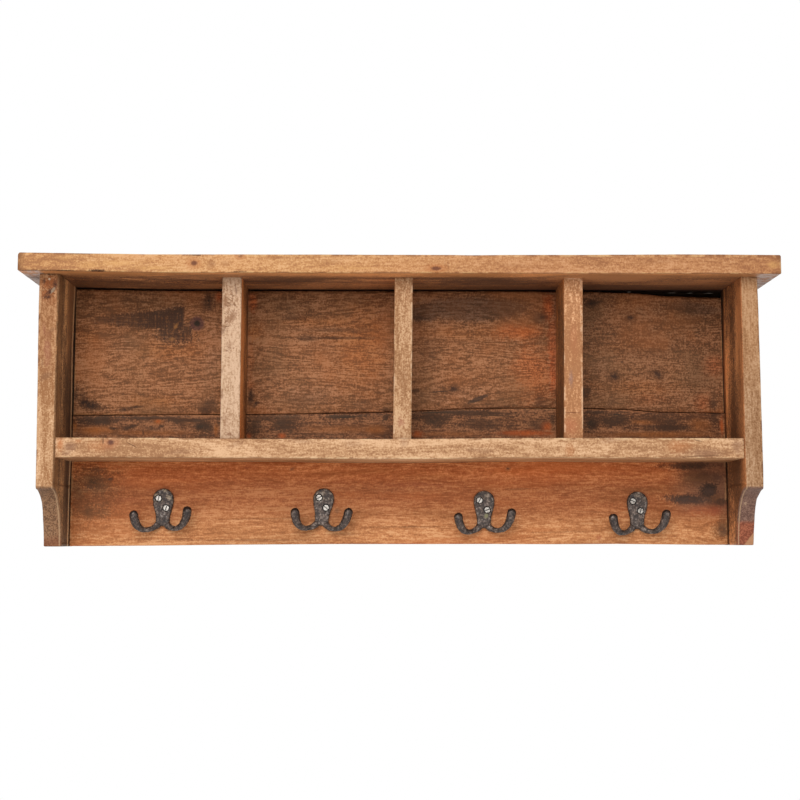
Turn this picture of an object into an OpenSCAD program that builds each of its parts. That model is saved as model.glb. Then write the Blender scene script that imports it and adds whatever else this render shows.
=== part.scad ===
// Wall rack of solid boards: a top shelf, a row of open compartments and a rail of cast double hooks.
// The wall lies at y = 0 and the front faces -Y. The origin is midway between the two keyhole
// entries on the wall, so the rack hangs from its own origin. Heights below are taken from the feet.

/* [Overall] */
// Width of the top board, end to end
rack_w = 1000; // [900:10:1400]
// Height from the feet of the side panels to the top face
rack_h = 380; // [350:5:460]
// Depth of the side panels, from the wall to their front edges
side_d = 122; // [110:1:170]

/* [Boards] */
// Thickness of the top board
top_t = 24; // [18:1:30]
// Thickness of each side panel
side_t = 24; // [20:1:30]
// Thickness of the shelf board
shelf_t = 26; // [20:1:32]
// Thickness of each divider
divider_t = 24; // [18:1:30]
// Thickness of the two back boards
back_t = 24; // [18:1:30]
// How far the top board stands out past each side panel
top_end_overhang = 25; // [5:1:60]
// How far the top board stands out past the fronts of the side panels
top_front_overhang = 23; // [5:1:40]
// Height of the shelf's underside above the feet
shelf_foot_h = 115; // [105:1:140]
// Rise of the top board's left end, which has bowed
top_bow = 3; // [0:0.5:4]
// Height of the lower back board, which is the hook rail, at its left end
rail_h = 178; // [170:1:190]
// Height of the rail's lower edge above the feet
rail_lift = 2; // [0:0.5:10]
// How much higher the crooked seam between the back boards lies at its highest stretch
seam_rise = 10; // [0:0.5:12]
// How far the divider fronts lie behind the side panels' fronts
divider_setback = 10; // [0:1:30]
// How far the shelf's front lies behind the side panels' fronts
shelf_setback = 1.5; // [0:0.5:10]

/* [Edges] */
// Radius worn onto the long arrises of the top board
top_arris_r = 3; // [1:0.5:6]
// Radius worn onto the corners of the top board, seen from above
top_corner_r = 6; // [2:0.5:15]
// Radius worn onto the front arrises of the other boards
front_arris_r = 1.5; // [0.5:0.5:4]
// Height of the hollow cut into the foot of each side panel
cove_h = 75; // [50:1:90]
// Depth of that hollow at the feet
cove_d = 50; // [30:1:60]
// Radius of the nose where the hollow meets the front edge
cove_nose_r = 4; // [1:0.5:8]
// Gap at each end of the back boards
back_end_gap = 1.2; // [0.2:0.1:3]
// Gap between the two back boards
back_seam_gap = 0.8; // [0.2:0.1:3]
// Gap between the upper back board and the top board
back_top_gap = 0.8; // [0.2:0.1:3]
// Depth of the bark edge along the upper back board's front
wane_d = 12; // [4:1:16]
// How far the bark edge drops at the right-hand end
wane_drop = 12; // [3:1:20]
// How far the bark edge drops along the rest of the board
wane_lip = 1.5; // [0.5:0.5:3]

/* [Hooks] */
// Height of the hook plates' tops above the feet
hook_top_h = 79; // [70:1:90]
// Width of a hook over both tips
hook_span = 84; // [70:1:110]
// Height of a hook, from the top of its plate to its lowest point
hook_h = 57; // [45:1:65]
// How far a hook stands out from the rail
hook_reach = 28; // [22:1:45]
// Width of the plate's round head
plate_w = 28; // [24:1:34]
// Width of the plate's waist
waist_w = 18.5; // [15:0.5:23]
// Thickness of the plate
plate_t = 5; // [4:0.5:7]
// Width of the bevel cast round the plate's front edge
plate_bevel = 1.6; // [0.5:0.1:2.5]
// How far the tips lie below the plate's top
tip_drop = 24; // [20:1:32]
// Radius of an arm at the plate
arm_root_r = 4.5; // [3:0.1:5]
// Radius of an arm at its thinnest
arm_neck_r = 3.2; // [2:0.1:4]
// Radius of an arm at its blunt tip
arm_tip_r = 5.9; // [4:0.1:7]

/* [Fasteners] */
// Length of the hook screws
hook_screw_l = 18; // [12:1:20]
// Length of the screws through the back boards
back_screw_l = 45; // [35:1:50]
// Length of the hanger screws
hanger_screw_l = 14; // [10:1:18]
// Radius of the shank of the hook screws and the back screws
screw_r = 2; // [1.5:0.1:2.4]
// Radius of the head of the hook screws and the back screws
screw_head_r = 3.7; // [3.5:0.1:4.4]
// Radius of the countersunk seats cast in the hook plates
seat_mouth_r = 4.9; // [4.7:0.1:5.2]
// Radius of the dowels
dowel_r = 4; // [3:0.5:5]
// Length of the dowels
dowel_l = 30; // [20:1:36]

/* [Hangers] */
// Height of the side panels' tops above the keyhole entries
hanger_drop = 36; // [32:1:90]
// Width of a hanger plate
hanger_w = 15; // [13:0.5:18]
// Length of a hanger plate
hanger_l = 50; // [46:1:56]
// Thickness of a hanger plate
hanger_t = 2; // [1.5:0.1:3]
// Radius of the keyhole's round entry
keyhole_r = 4.5; // [4:0.1:5.5]
// Half width of the keyhole's slot
keyslot_r = 2.3; // [2:0.1:2.5]
// Length of the keyhole's slot above its entry
keyslot_l = 9; // [7:0.5:11]

/* [Hidden] */
// Overrun of every cut past the face that it leaves
over = 1;
// Clearance between a fitted piece and its hole, all round
fit_gap = 0.15;
// Clearance at each end of a dowel or past a screw's point
end_gap = 0.5;
// Clearance between the back of a cast hook and the rail
casting_gap = 0.1;

// Rims, slots and points of the screws
head_rim = 0.3;
slot_w = 1.2;
slot_d = 1.1;
screw_point_l = 5;
hanger_screw_r = 1.5;
hanger_head_r = 2.9;
hanger_head_rim = 0.3;
// Distance of a hanger screw from the end of its plate
hanger_screw_inset = 6.5;
// Height of the hanger plate's centre above the keyhole entry
hanger_lift = 4;
// Space behind the keyhole for the head of the wall screw
pocket_d = 11;
pocket_w = 12;
pocket_side_gap = 2;

// Places of the dividers and hooks across the rack, as shares of the width between the side panels
divider_place_shares = [-0.247, 0.004, 0.254];
hook_place_shares = [-0.3585, -0.1139, 0.129, 0.3629];
// How far each hook sits below hook_top_h, and how far its left tip hangs, as shares of its height
hook_sink_shares = [0.01, 0, 0.055, 0.075];
left_tip_shares = [0.107, 0.11, 0.12, 0.13];
// How far each hook leans, in degrees
hook_leans = [0.6, 5, 0.8, 1.5];
// Turns of the slots in each hook's two screws, in degrees
hook_slot_turns = [[80, 70], [38, -35], [60, 20], [-20, 75]];
// Places of a hook's two screws: across as shares of the plate's width, down as shares of its height
seat_across_shares = [-0.225, 0.155];
seat_down_shares = [0.232, 0.46];
// Places of the pairs of dowels along a board's depth, and how a dowel is shared between two boards
dowel_place_shares = [0.26, 0.76];
dowel_cap_share = 0.4;
// Places of the back screws: up each divider, and across the shelf's rear edge
upper_screw_shares = [0.22, 0.8];
shelf_screw_shares = [-0.4, -0.14, 0.14, 0.4];
// Share of the rack's width, left of the middle, at which the top board starts to bow
bow_start_share = 0.33;
// Course of the seam between the back boards: places as shares of their width, right of the middle,
// and heights there as shares of its rise
seam_place_shares = [-0.5, -0.4, -0.222, -0.067, 0.022, 0.089, 0.167, 0.267, 0.345, 0.4, 0.5];
seam_rise_shares = [0, 0.06, 0.15, 0.34, 0.59, 0.88, 1, 1, 0.86, 0.52, 0.37];
// Share of the rack's width at which the bark edge starts to drop, how its fall bends, and its steps
wane_start_share = 0.22;
wane_bend = 1.5;
wane_steps = 12;

// Outline of a hook plate, down as shares of the hook's height and across as shares of the waist:
// the end of the taper, the foot's corner and shoulder, the top of the foot's arch, and the middle
// that the bevel draws in towards
taper_end_share = 0.74;
foot_down_shares = [0.86, 0.89];
foot_across_shares = [0.5, 0.25];
foot_arch_share = 0.9;
plate_middle_share = 0.45;
// Levels of the plate's edge: how far forward each lies, and how far the bevel has come in
bevel_forward_shares = [0, 0.6, 0.86, 1];
bevel_inward_shares = [0, 0, 0.35, 1];
// Root and bend of an arm: across as shares of the waist, down as a share of the hook's height,
// forward as a share of the hook's reach, and the place of its thinnest part along it
root_across_share = 0.32;
root_down_share = 0.85;
bend_across_share = 0.75;
bend_forward_share = 0.3;
neck_place_share = 0.35;
arm_sag_share = 0.25;

// Sizes that follow from the values above
side_h = rack_h - top_t;
outer_w = rack_w - 2 * top_end_overhang;
inner_w = outer_w - 2 * side_t;
side_x = (inner_w + side_t) / 2;
top_d = side_d + top_front_overhang;
shelf_top_h = shelf_foot_h + shelf_t;
shelf_d = side_d - shelf_setback - back_t;
divider_h = side_h - shelf_top_h;
divider_d = side_d - divider_setback - back_t;
back_w = inner_w - 2 * back_end_gap;
bow_l = rack_w * (0.5 - bow_start_share);
left_side_h = side_h + top_bow * (bow_l - top_end_overhang - side_t) / bow_l;
seam_h = rail_lift + rail_h;
upper_h = side_h - back_top_gap - seam_h - back_seam_gap;
upper_foot_h = seam_h + back_seam_gap;
feet_z = hanger_drop - side_h;
hanger_screw_place = hanger_l / 2 - hanger_screw_inset;
dowel_cap = dowel_l * dowel_cap_share;
tip_x = hook_span / 2 - arm_tip_r;
tip_y = hook_reach - arm_tip_r;
tip_z = tip_drop + arm_tip_r;
arm_low_z = hook_h + arm_neck_r * arm_sag_share;
// Depth of a screw head below the plate's face, where its cone meets the wider seat
seat_sink = seat_mouth_r - screw_head_r - fit_gap - head_rim;

// Steps of the arcs, the taper and the skins
arc_steps = 5;
cove_steps = 16;
head_arc = 75;
taper_steps = 6;
arm_rings = 16;
arm_sides = 12;
cap_rings = 3;
cap_arc = 80;
bar_sides = 48;
strip_sides = 64;

wood_tan = [0.76, 0.56, 0.38];
wood_pale = [0.79, 0.62, 0.46];
wood_brown = [0.49, 0.32, 0.21];
wood_red = [0.67, 0.41, 0.25];
iron_black = [0.2, 0.18, 0.17];
steel_grey = [0.75, 0.75, 0.73];
zinc_grey = [0.6, 0.6, 0.6];
dowel_cream = [0.85, 0.73, 0.54];

// Moves a piece measured from the feet into the hanging frame
module hung() {
    translate([0, 0, feet_z]) children();
}

// Outline of a w by h section from its lower left corner, with one radius for each corner,
// anticlockwise from the lower left. A radius of zero leaves the corner square.
function eased_outline(w, h, radii) = [
    for (k = [0:3])
        let (
            r = radii[k],
            centre = [k == 0 || k == 3 ? r : w - r, k < 2 ? r : h - r],
            steps = r > 0 ? arc_steps : 0
        )
        for (i = [0:steps])
            let (a = 180 + 90 * k + (steps > 0 ? 90 * i / steps : 0))
            centre + r * [cos(a), sin(a)]
];

// A section in the YZ plane, carried along X over the length l about the middle
module along_x(l) {
    translate([-l / 2, 0, 0]) rotate([90, 0, 90]) linear_extrude(l) children();
}

// A round piece or hole along +Z from the origin, between two depths
module round_bar(r, l) {
    cylinder(r = r, h = l, $fn = bar_sides);
}

// Half profile of a countersunk screw, head up, with an allowance grown all round
function screw_profile(l, r, head_r, rim, grow) = [
    [0, 0],
    [head_r + grow, 0],
    [head_r + grow, -rim],
    [r + grow, -rim - head_r + r],
    [r + grow, -l + screw_point_l],
    [0, -l - grow]
];

// A slotted countersunk wood screw whose head lies at the origin and faces +Z
module slotted_screw(l, r, head_r, rim, turn) {
    difference() {
        rotate_extrude($fn = bar_sides) polygon(screw_profile(l, r, head_r, rim, 0));
        rotate([0, 0, turn])
            translate([-head_r - over, -slot_w / 2, -slot_d])
                cube([2 * (head_r + over), slot_w, slot_d + over]);
    }
}

// The hole that such a screw leaves, open above its head
module screw_hole(l, r, head_r, rim) {
    rotate_extrude($fn = bar_sides) polygon(screw_profile(l + end_gap, r, head_r, rim, fit_gap));
    round_bar(head_r + fit_gap, over);
}

// Centres of the dowels that rise from the boards into the top board: [x, y]
side_dowel_places = [for (x = [-side_x, side_x], s = dowel_place_shares) [x, -side_d * s]];
divider_dowel_places = [
    for (p = divider_place_shares, s = dowel_place_shares) [inner_w * p, -back_t - divider_d * s]
];
// Centres of the dowels in the shelf's ends: [y, z] from the feet
shelf_dowel_places = [
    for (s = dowel_place_shares) [-back_t - shelf_d * s, shelf_foot_h + shelf_t / 2]
];
// Centres of the back screws: [x, z] from the feet
upper_screw_places = [
    for (p = divider_place_shares, s = upper_screw_shares) [inner_w * p, upper_foot_h + upper_h * s]
];
rail_screw_places = [
    for (s = shelf_screw_shares) [inner_w * s, shelf_foot_h + shelf_t / 2]
];

// Upright dowels whose lower ends lie at the height z, grown by a clearance
module upright_dowels(places, z, side_grow, end_grow) {
    for (p = places)
        translate([p[0], p[1], z - end_grow])
            round_bar(dowel_r + side_grow, dowel_l + 2 * end_grow);
}

// The dowels between the top board and the boards below it
module top_dowel_set(side_grow, end_grow) {
    upright_dowels(
        concat(side_dowel_places, divider_dowel_places),
        side_h - dowel_l + dowel_cap, side_grow, end_grow
    );
}

// The dowels between the shelf and the feet of the dividers
module divider_dowel_set(side_grow, end_grow) {
    upright_dowels(divider_dowel_places, shelf_top_h - dowel_cap, side_grow, end_grow);
}

// The dowels between the shelf's ends and the side panels
module shelf_dowel_set(side_grow, end_grow) {
    for (end = [0, 1], p = shelf_dowel_places)
        mirror([end, 0, 0])
            translate([inner_w / 2 + dowel_cap - dowel_l - end_grow, p[0], p[1]])
                rotate([0, 90, 0]) round_bar(dowel_r + side_grow, dowel_l + 2 * end_grow);
}

// What is put at each place on the back, head towards the wall
module at_back(places) {
    for (p = places)
        translate([p[0], 0, p[1]]) rotate([-90, 0, 0]) children();
}

module back_screw_holes(places) {
    at_back(places) screw_hole(back_screw_l, screw_r, screw_head_r, head_rim);
}

module back_screws(places) {
    at_back(places) slotted_screw(back_screw_l, screw_r, screw_head_r, head_rim, 0);
}

// A stretch of the top board from x = 0 to its worn right end at x = l: long arrises eased in
// section, the end eased in plan and in front view
module top_stretch(l) {
    corner = top_corner_r;
    arris = top_arris_r;
    intersection() {
        translate([l / 2, -top_d, 0]) along_x(l)
            polygon(eased_outline(top_d, top_t, [arris, front_arris_r, front_arris_r, arris]));
        translate([0, -top_d, 0]) linear_extrude(top_t)
            polygon(eased_outline(l, top_d, [0, corner, front_arris_r, 0]));
        rotate([90, 0, 0]) linear_extrude(top_d)
            polygon(eased_outline(l, top_t, [0, arris, arris, 0]));
    }
}

// Top board: a straight stretch, and a left stretch that rises to the bowed end
module top_board() {
    color(wood_tan) hung() difference() {
        translate([bow_l - rack_w / 2, 0, side_h]) union() {
            top_stretch(rack_w - bow_l);
            rotate([0, atan(top_bow / bow_l), 0]) mirror([1, 0, 0]) top_stretch(bow_l);
        }
        top_dowel_set(fit_gap, end_gap);
    }
}

// Side panel outline as [distance from the wall, height]. The hollow is a quarter ellipse about
// the front foot, and its nose is a quarter circle.
function side_outline(h) =
    let (
        nose_share = cove_nose_r / cove_d,
        nose_z = cove_h * sqrt(1 - nose_share * nose_share) + cove_nose_r,
        start = asin(nose_share)
    )
    concat(
        [[0, 0], [side_d - cove_d, 0]],
        [for (i = [1:cove_steps])
            let (a = 90 + (start - 90) * i / cove_steps)
            [side_d - cove_d * sin(a), cove_h * cos(a)]],
        [for (i = [1:arc_steps])
            let (a = -90 + 90 * i / arc_steps)
            [side_d - cove_nose_r + cove_nose_r * cos(a), nose_z + cove_nose_r * sin(a)]],
        [[side_d, h], [0, h]]
    );

module side_panel(x, h) {
    color(wood_tan) hung() difference() {
        intersection() {
            translate([x, 0, 0]) mirror([0, 1, 0]) along_x(side_t) polygon(side_outline(h));
            translate([x - side_t / 2, -side_d, 0]) linear_extrude(h)
                polygon(eased_outline(side_t, side_d, [front_arris_r, front_arris_r, 0, 0]));
        }
        top_dowel_set(fit_gap, end_gap);
        shelf_dowel_set(fit_gap, end_gap);
        translate([x, 0, -feet_z]) hanger_housing();
    }
}

// Shelf between the side panels, front arrises eased
module shelf_board() {
    color(wood_pale) hung() difference() {
        translate([0, -back_t - shelf_d, shelf_foot_h]) along_x(inner_w)
            polygon(eased_outline(shelf_d, shelf_t, [front_arris_r, 0, 0, front_arris_r]));
        shelf_dowel_set(fit_gap, end_gap);
        divider_dowel_set(fit_gap, end_gap);
        back_screw_holes(rail_screw_places);
    }
}

module divider(place) {
    color(wood_pale) hung() difference() {
        translate([inner_w * place - divider_t / 2, -back_t - divider_d, shelf_top_h])
            linear_extrude(divider_h)
                polygon(eased_outline(divider_t, divider_d, [front_arris_r, front_arris_r, 0, 0]));
        top_dowel_set(fit_gap, end_gap);
        divider_dowel_set(fit_gap, end_gap);
        back_screw_holes(upper_screw_places);
    }
}

// Drop of the bark edge below the board's top at a share s of the falling stretch
function wane_at(s) = wane_lip + (wane_drop - wane_lip) * pow(s, wane_bend);

// Points along the seam between the back boards, from the left, at the heights of the crooked line
// above its left end
function seam_line(z) = [
    for (i = [0:len(seam_place_shares) - 1])
        [back_w * seam_place_shares[i], z + seam_rise * seam_rise_shares[i]]
];

// Upper back board, whose front top arris follows the bark and falls away to the right
module back_board_upper() {
    start_x = rack_w * wane_start_share;
    fall_w = back_w / 2 - start_x;
    color(wood_brown) hung() translate([0, 0, upper_foot_h]) difference() {
        rotate([90, 0, 0]) linear_extrude(back_t)
            polygon(concat(seam_line(0), [[back_w / 2, upper_h], [-back_w / 2, upper_h]]));
        translate([0, -back_t + wane_d, 0]) rotate([90, 0, 0]) linear_extrude(wane_d + over)
            polygon(concat(
                [[-back_w / 2 - over, upper_h + over], [-back_w / 2 - over, upper_h - wane_lip]],
                [for (i = [0:wane_steps])
                    [start_x + fall_w * i / wane_steps, upper_h - wane_at(i / wane_steps)]],
                [[back_w / 2 + over, upper_h - wane_drop], [back_w / 2 + over, upper_h + over]]
            ));
        translate([0, 0, -upper_foot_h]) back_screw_holes(upper_screw_places);
    }
}

// Lower back board, which carries the hooks
module hook_rail() {
    seam = seam_line(seam_h);
    color(wood_red) hung() difference() {
        rotate([90, 0, 0]) linear_extrude(back_t)
            polygon(concat(
                [[-back_w / 2, rail_lift], [back_w / 2, rail_lift]],
                [for (i = [len(seam) - 1:-1:0]) seam[i]]
            ));
        back_screw_holes(rail_screw_places);
        for (i = [0:len(hook_place_shares) - 1])
            at_hook(i) for (k = [0, 1])
                at_seat(k) screw_hole(hook_screw_l, screw_r, screw_head_r, head_rim);
    }
}

// Frame of one hook: the plate's top centre on the rail's face, +Y into the rail
module at_hook(i) {
    translate([
        inner_w * hook_place_shares[i],
        -back_t - casting_gap,
        hook_top_h - hook_h * hook_sink_shares[i]
    ]) rotate([0, hook_leans[i], 0]) children();
}

// Place of the screw k of a hook, head forward
module at_seat(k) {
    translate([
        plate_w * seat_across_shares[k],
        -plate_t + seat_sink,
        -hook_h * seat_down_shares[k]
    ]) rotate([90, 0, 0]) children();
}

// A closed skin over a list of rings with the same number of points each
module skin(rings) {
    n = len(rings[0]);
    m = len(rings);
    polyhedron(
        points = [for (ring = rings) each ring],
        faces = concat(
            [[for (j = [0:n - 1]) n - 1 - j]],
            [for (i = [0:m - 2], j = [0:n - 1])
                let (a = i * n + j, b = i * n + (j + 1) % n)
                each [[a, b, b + n], [a, b + n, a + n]]],
            [[for (j = [0:n - 1]) (m - 1) * n + j]]
        )
    );
}

// Right half of the plate's outline, from the top down, as [across, down]: a round head, then a
// cosine taper to the waist, then a foot that arches up between the arms
function plate_half() =
    let (
        head_r = plate_w / 2,
        waist = waist_w / 2,
        taper_end = hook_h * taper_end_share
    )
    concat(
        [for (i = [0:arc_steps])
            let (a = head_arc * i / arc_steps) head_r * [sin(a), 1 - cos(a)]],
        [for (i = [0:taper_steps])
            [waist + (head_r - waist) * (1 + cos(180 * i / taper_steps)) / 2,
             head_r + (taper_end - head_r) * i / taper_steps]],
        [for (i = [0, 1]) [waist_w * foot_across_shares[i], hook_h * foot_down_shares[i]]]
    );

function plate_outline() =
    let (half = plate_half(), n = len(half))
    concat(
        half,
        [[0, hook_h * foot_arch_share]],
        [for (i = [1:n - 1]) [-half[n - i][0], half[n - i][1]]]
    );

// Plate with a cast bevel: the outline drawn in towards its middle as it comes forward
module hook_plate() {
    outline = plate_outline();
    middle = hook_h * plate_middle_share;
    skin([
        for (i = [0:len(bevel_forward_shares) - 1])
            let (
                forward = plate_t * bevel_forward_shares[i],
                inward = plate_bevel * bevel_inward_shares[i],
                across = 1 - inward / (plate_w / 2),
                down = 1 - inward / middle
            )
            [for (p = outline) [p[0] * across, -forward, -middle - (p[1] - middle) * down]]
    ]);
}

function bezier(p, t) =
    pow(1 - t, 3) * p[0] + 3 * t * pow(1 - t, 2) * p[1] + 3 * t * t * (1 - t) * p[2]
    + pow(t, 3) * p[3];

function bezier_slope(p, t) =
    3 * pow(1 - t, 2) * (p[1] - p[0]) + 6 * t * (1 - t) * (p[2] - p[1])
    + 3 * t * t * (p[3] - p[2]);

function smooth(t) = t * t * (3 - 2 * t);

// Radius of an arm along its length: it thins to a neck and swells to the blunt tip
function arm_r(t) = t < neck_place_share
    ? arm_root_r + (arm_neck_r - arm_root_r) * smooth(t / neck_place_share)
    : arm_neck_r
        + (arm_tip_r - arm_neck_r) * smooth((t - neck_place_share) / (1 - neck_place_share));

// Ring of points round the centre c, square to the direction d
function ring_at(c, d, r) =
    let (along = d / norm(d), u = cross([0, 1, 0], along), e = u / norm(u), f = cross(along, e))
    [for (j = [0:arm_sides - 1])
        let (a = -360 * j / arm_sides) c + r * (cos(a) * e + sin(a) * f)];

// Arm: a cubic curve out of the plate's foot, down, forward and up to a rounded tip
module hook_arm(lower) {
    route = [
        [waist_w * root_across_share, -arm_root_r - fit_gap, -hook_h * root_down_share],
        [waist_w * bend_across_share, -hook_reach * bend_forward_share, -arm_low_z],
        [tip_x - arm_neck_r, -tip_y, -arm_low_z - lower],
        [tip_x, -tip_y, -tip_z - lower]
    ];
    end_dir = route[3] - route[2];
    end = end_dir / norm(end_dir);
    skin(concat(
        [for (i = [0:arm_rings])
            let (t = i / arm_rings) ring_at(bezier(route, t), bezier_slope(route, t), arm_r(t))],
        [for (i = [1:cap_rings])
            let (a = cap_arc * i / cap_rings)
            ring_at(route[3] + end * arm_tip_r * sin(a), end, arm_tip_r * cos(a))]
    ));
}

// Cast double hook: plate and arms in one piece, with two countersunk seats
module coat_hook(i) {
    color(iron_black) hung() at_hook(i) difference() {
        union() {
            hook_plate();
            hook_arm(0);
            mirror([1, 0, 0]) hook_arm(hook_h * left_tip_shares[i]);
        }
        for (k = [0, 1]) at_seat(k) {
            translate([0, 0, -plate_t - over]) round_bar(screw_r + fit_gap, plate_t + 2 * over);
            // The seat's cone opens onto the plate's face
            translate([0, 0, seat_sink - seat_mouth_r])
                cylinder(r1 = 0, r2 = seat_mouth_r, h = seat_mouth_r, $fn = bar_sides);
            translate([0, 0, seat_sink]) round_bar(seat_mouth_r, over);
        }
    }
}

module hook_screws(i) {
    color(steel_grey) hung() at_hook(i)
        for (k = [0, 1])
            at_seat(k)
                slotted_screw(hook_screw_l, screw_r, screw_head_r, head_rim, hook_slot_turns[i][k]);
}

// Frame of a hanger plate: its centre on the wall plane, as seen from the keyhole entry
module at_hanger() {
    translate([0, 0, hanger_lift]) children();
}

// The two screws of a hanger plate, heads towards the wall
module at_hanger_screws() {
    at_hanger() for (end = [-1, 1])
        translate([0, 0, end * hanger_screw_place]) rotate([-90, 0, 0]) children();
}

// A strip with round ends, w wide and l long, lying on the wall plane and reaching d into the rack
module round_ended(w, l, d) {
    rotate([90, 0, 0]) linear_extrude(d) union() {
        square([w, l - w], center = true);
        for (end = [-1, 1])
            translate([0, end * (l - w) / 2]) circle(d = w, $fn = strip_sides);
    }
}

// What is cut from a side panel's rear edge: the plate's seat, the pocket and two screw holes
module hanger_housing() {
    grown = 2 * fit_gap;
    at_hanger() translate([0, over, 0])
        round_ended(hanger_w + grown, hanger_l + grown, hanger_t + fit_gap + over);
    translate([
        -pocket_w / 2, -hanger_t - pocket_d, -keyhole_r - pocket_side_gap
    ]) cube([pocket_w, pocket_d + over, keyslot_l + keyslot_r + keyhole_r + 2 * pocket_side_gap]);
    at_hanger_screws() screw_hole(hanger_screw_l, hanger_screw_r, hanger_head_r, hanger_head_rim);
}

// Keyhole plate let into the rear edge of a side panel
module hanger_plate(x) {
    color(zinc_grey) translate([x, 0, 0]) difference() {
        at_hanger() round_ended(hanger_w, hanger_l, hanger_t);
        translate([0, over, 0]) rotate([90, 0, 0]) round_bar(keyhole_r, hanger_t + 2 * over);
        translate([0, over, keyslot_l]) rotate([90, 0, 0]) round_bar(keyslot_r, hanger_t + 2 * over);
        translate([-keyslot_r, -hanger_t - over, 0])
            cube([2 * keyslot_r, hanger_t + 2 * over, keyslot_l]);
        at_hanger_screws()
            screw_hole(hanger_screw_l, hanger_screw_r, hanger_head_r, hanger_head_rim);
    }
}

module hanger_screws(x) {
    color(zinc_grey) translate([x, 0, 0]) at_hanger_screws()
        slotted_screw(hanger_screw_l, hanger_screw_r, hanger_head_r, hanger_head_rim, 0);
}

top_board();
side_panel(-side_x, left_side_h);  // left_side_panel
side_panel(side_x, side_h);  // right_side_panel
shelf_board();
divider(divider_place_shares[0]);  // divider_left
divider(divider_place_shares[1]);  // divider_centre
divider(divider_place_shares[2]);  // divider_right
back_board_upper();
hook_rail();
coat_hook(0);  // coat_hook_1
coat_hook(1);  // coat_hook_2
coat_hook(2);  // coat_hook_3
coat_hook(3);  // coat_hook_4
hook_screws(0);  // hook_screws_1
hook_screws(1);  // hook_screws_2
hook_screws(2);  // hook_screws_3
hook_screws(3);  // hook_screws_4
color(dowel_cream) hung() top_dowel_set(0, 0);  // top_dowels
color(dowel_cream) hung() divider_dowel_set(0, 0);  // divider_dowels
color(dowel_cream) hung() shelf_dowel_set(0, 0);  // shelf_dowels
color(zinc_grey) hung() back_screws(upper_screw_places);  // upper_back_screws
color(zinc_grey) hung() back_screws(rail_screw_places);  // rail_screws
hanger_plate(-side_x);  // hanger_plate_left
hanger_plate(side_x);  // hanger_plate_right
hanger_screws(-side_x);  // hanger_screws_left
hanger_screws(side_x);  // hanger_screws_right
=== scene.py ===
import itertools
import math

import bpy
import numpy as np
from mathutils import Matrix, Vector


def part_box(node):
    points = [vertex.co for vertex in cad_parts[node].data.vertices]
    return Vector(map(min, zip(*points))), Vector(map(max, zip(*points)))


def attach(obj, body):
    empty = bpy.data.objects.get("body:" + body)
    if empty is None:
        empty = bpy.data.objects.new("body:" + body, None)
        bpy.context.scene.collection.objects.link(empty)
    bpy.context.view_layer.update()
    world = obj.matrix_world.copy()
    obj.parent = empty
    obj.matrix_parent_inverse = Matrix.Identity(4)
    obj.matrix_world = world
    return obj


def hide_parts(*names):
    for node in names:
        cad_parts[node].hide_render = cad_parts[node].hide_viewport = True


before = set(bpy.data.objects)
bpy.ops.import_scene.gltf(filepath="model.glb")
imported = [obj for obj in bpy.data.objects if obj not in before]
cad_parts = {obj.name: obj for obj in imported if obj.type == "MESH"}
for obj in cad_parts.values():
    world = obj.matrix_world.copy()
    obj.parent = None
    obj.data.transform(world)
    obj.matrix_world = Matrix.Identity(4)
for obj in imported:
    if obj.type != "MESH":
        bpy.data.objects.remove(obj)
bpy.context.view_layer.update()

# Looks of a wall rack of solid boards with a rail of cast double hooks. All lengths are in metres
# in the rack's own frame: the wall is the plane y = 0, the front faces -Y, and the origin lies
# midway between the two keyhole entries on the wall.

# The eye of the photograph and its focal length in picture points, for an 800 by 800 picture
EYE = np.array([-0.0191, -1.8924, -0.310])
PITCH, YAW = 0.1021, -0.0106
LENS, SENSOR, PICTURE = 61.05, 36.0, 800
FOCUS = LENS / SENSOR * PICTURE

# Sizes that the boxes of the solids don't give: heights of the foot line and of the top board's two
# faces, its bow, the hollow of the side panels, their inner faces, the back boards' front face, how
# deep the seam between these is eased, and the step of a board's rings
FEET_Z, TOP_Z, UNDER_Z = -0.320, 0.060, 0.036
BOW_START, BOW_RISE, HALF_W = 0.330, 0.003, 0.500
COVE_H, COVE_D, COVE_NOSE = 0.075, 0.050, 0.004
SIDE_IN = 0.451
BACK_FACE = -0.024
SEAM_DEEP = 0.0045
BOARD_STEP = 0.0026
ARC = np.linspace(0, math.pi / 2, 6)

# Sizes of the cast hooks
HOOK_H, HOOK_SPAN, HOOK_REACH = 0.057, 0.084, 0.028
PLATE_W, WAIST_W, PLATE_T, PLATE_BACK = 0.028, 0.0185, 0.005, 0.0008
TIP_DROP, ARM_ROOT_R, ARM_NECK_R, ARM_TIP_R = 0.024, 0.0045, 0.0032, 0.0059
SEAT_R, HEAD_SINK = 0.0049, 0.00075
HOOK_VOXEL, SKIN_GROWTH, SEAT_DEEP = 0.00052, 0.00018, 0.0034
HAMMER = ((0.00028, 0.0042), (0.00012, 0.0018))  # depth and width of the casting's dents
SEATS = ((-0.225 * PLATE_W, -0.232 * HOOK_H), (0.155 * PLATE_W, -0.46 * HOOK_H))
HOOKS = (  # place across, height of the plate's top, lean in degrees, drop of the left tip
    (-0.323367, -0.24157, 0.6, 0.107),
    (-0.102738, -0.24100, 5.0, 0.11),
    (0.116358, -0.244135, 0.8, 0.12),
    (0.327336, -0.245275, 1.5, 0.13),
)

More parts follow.
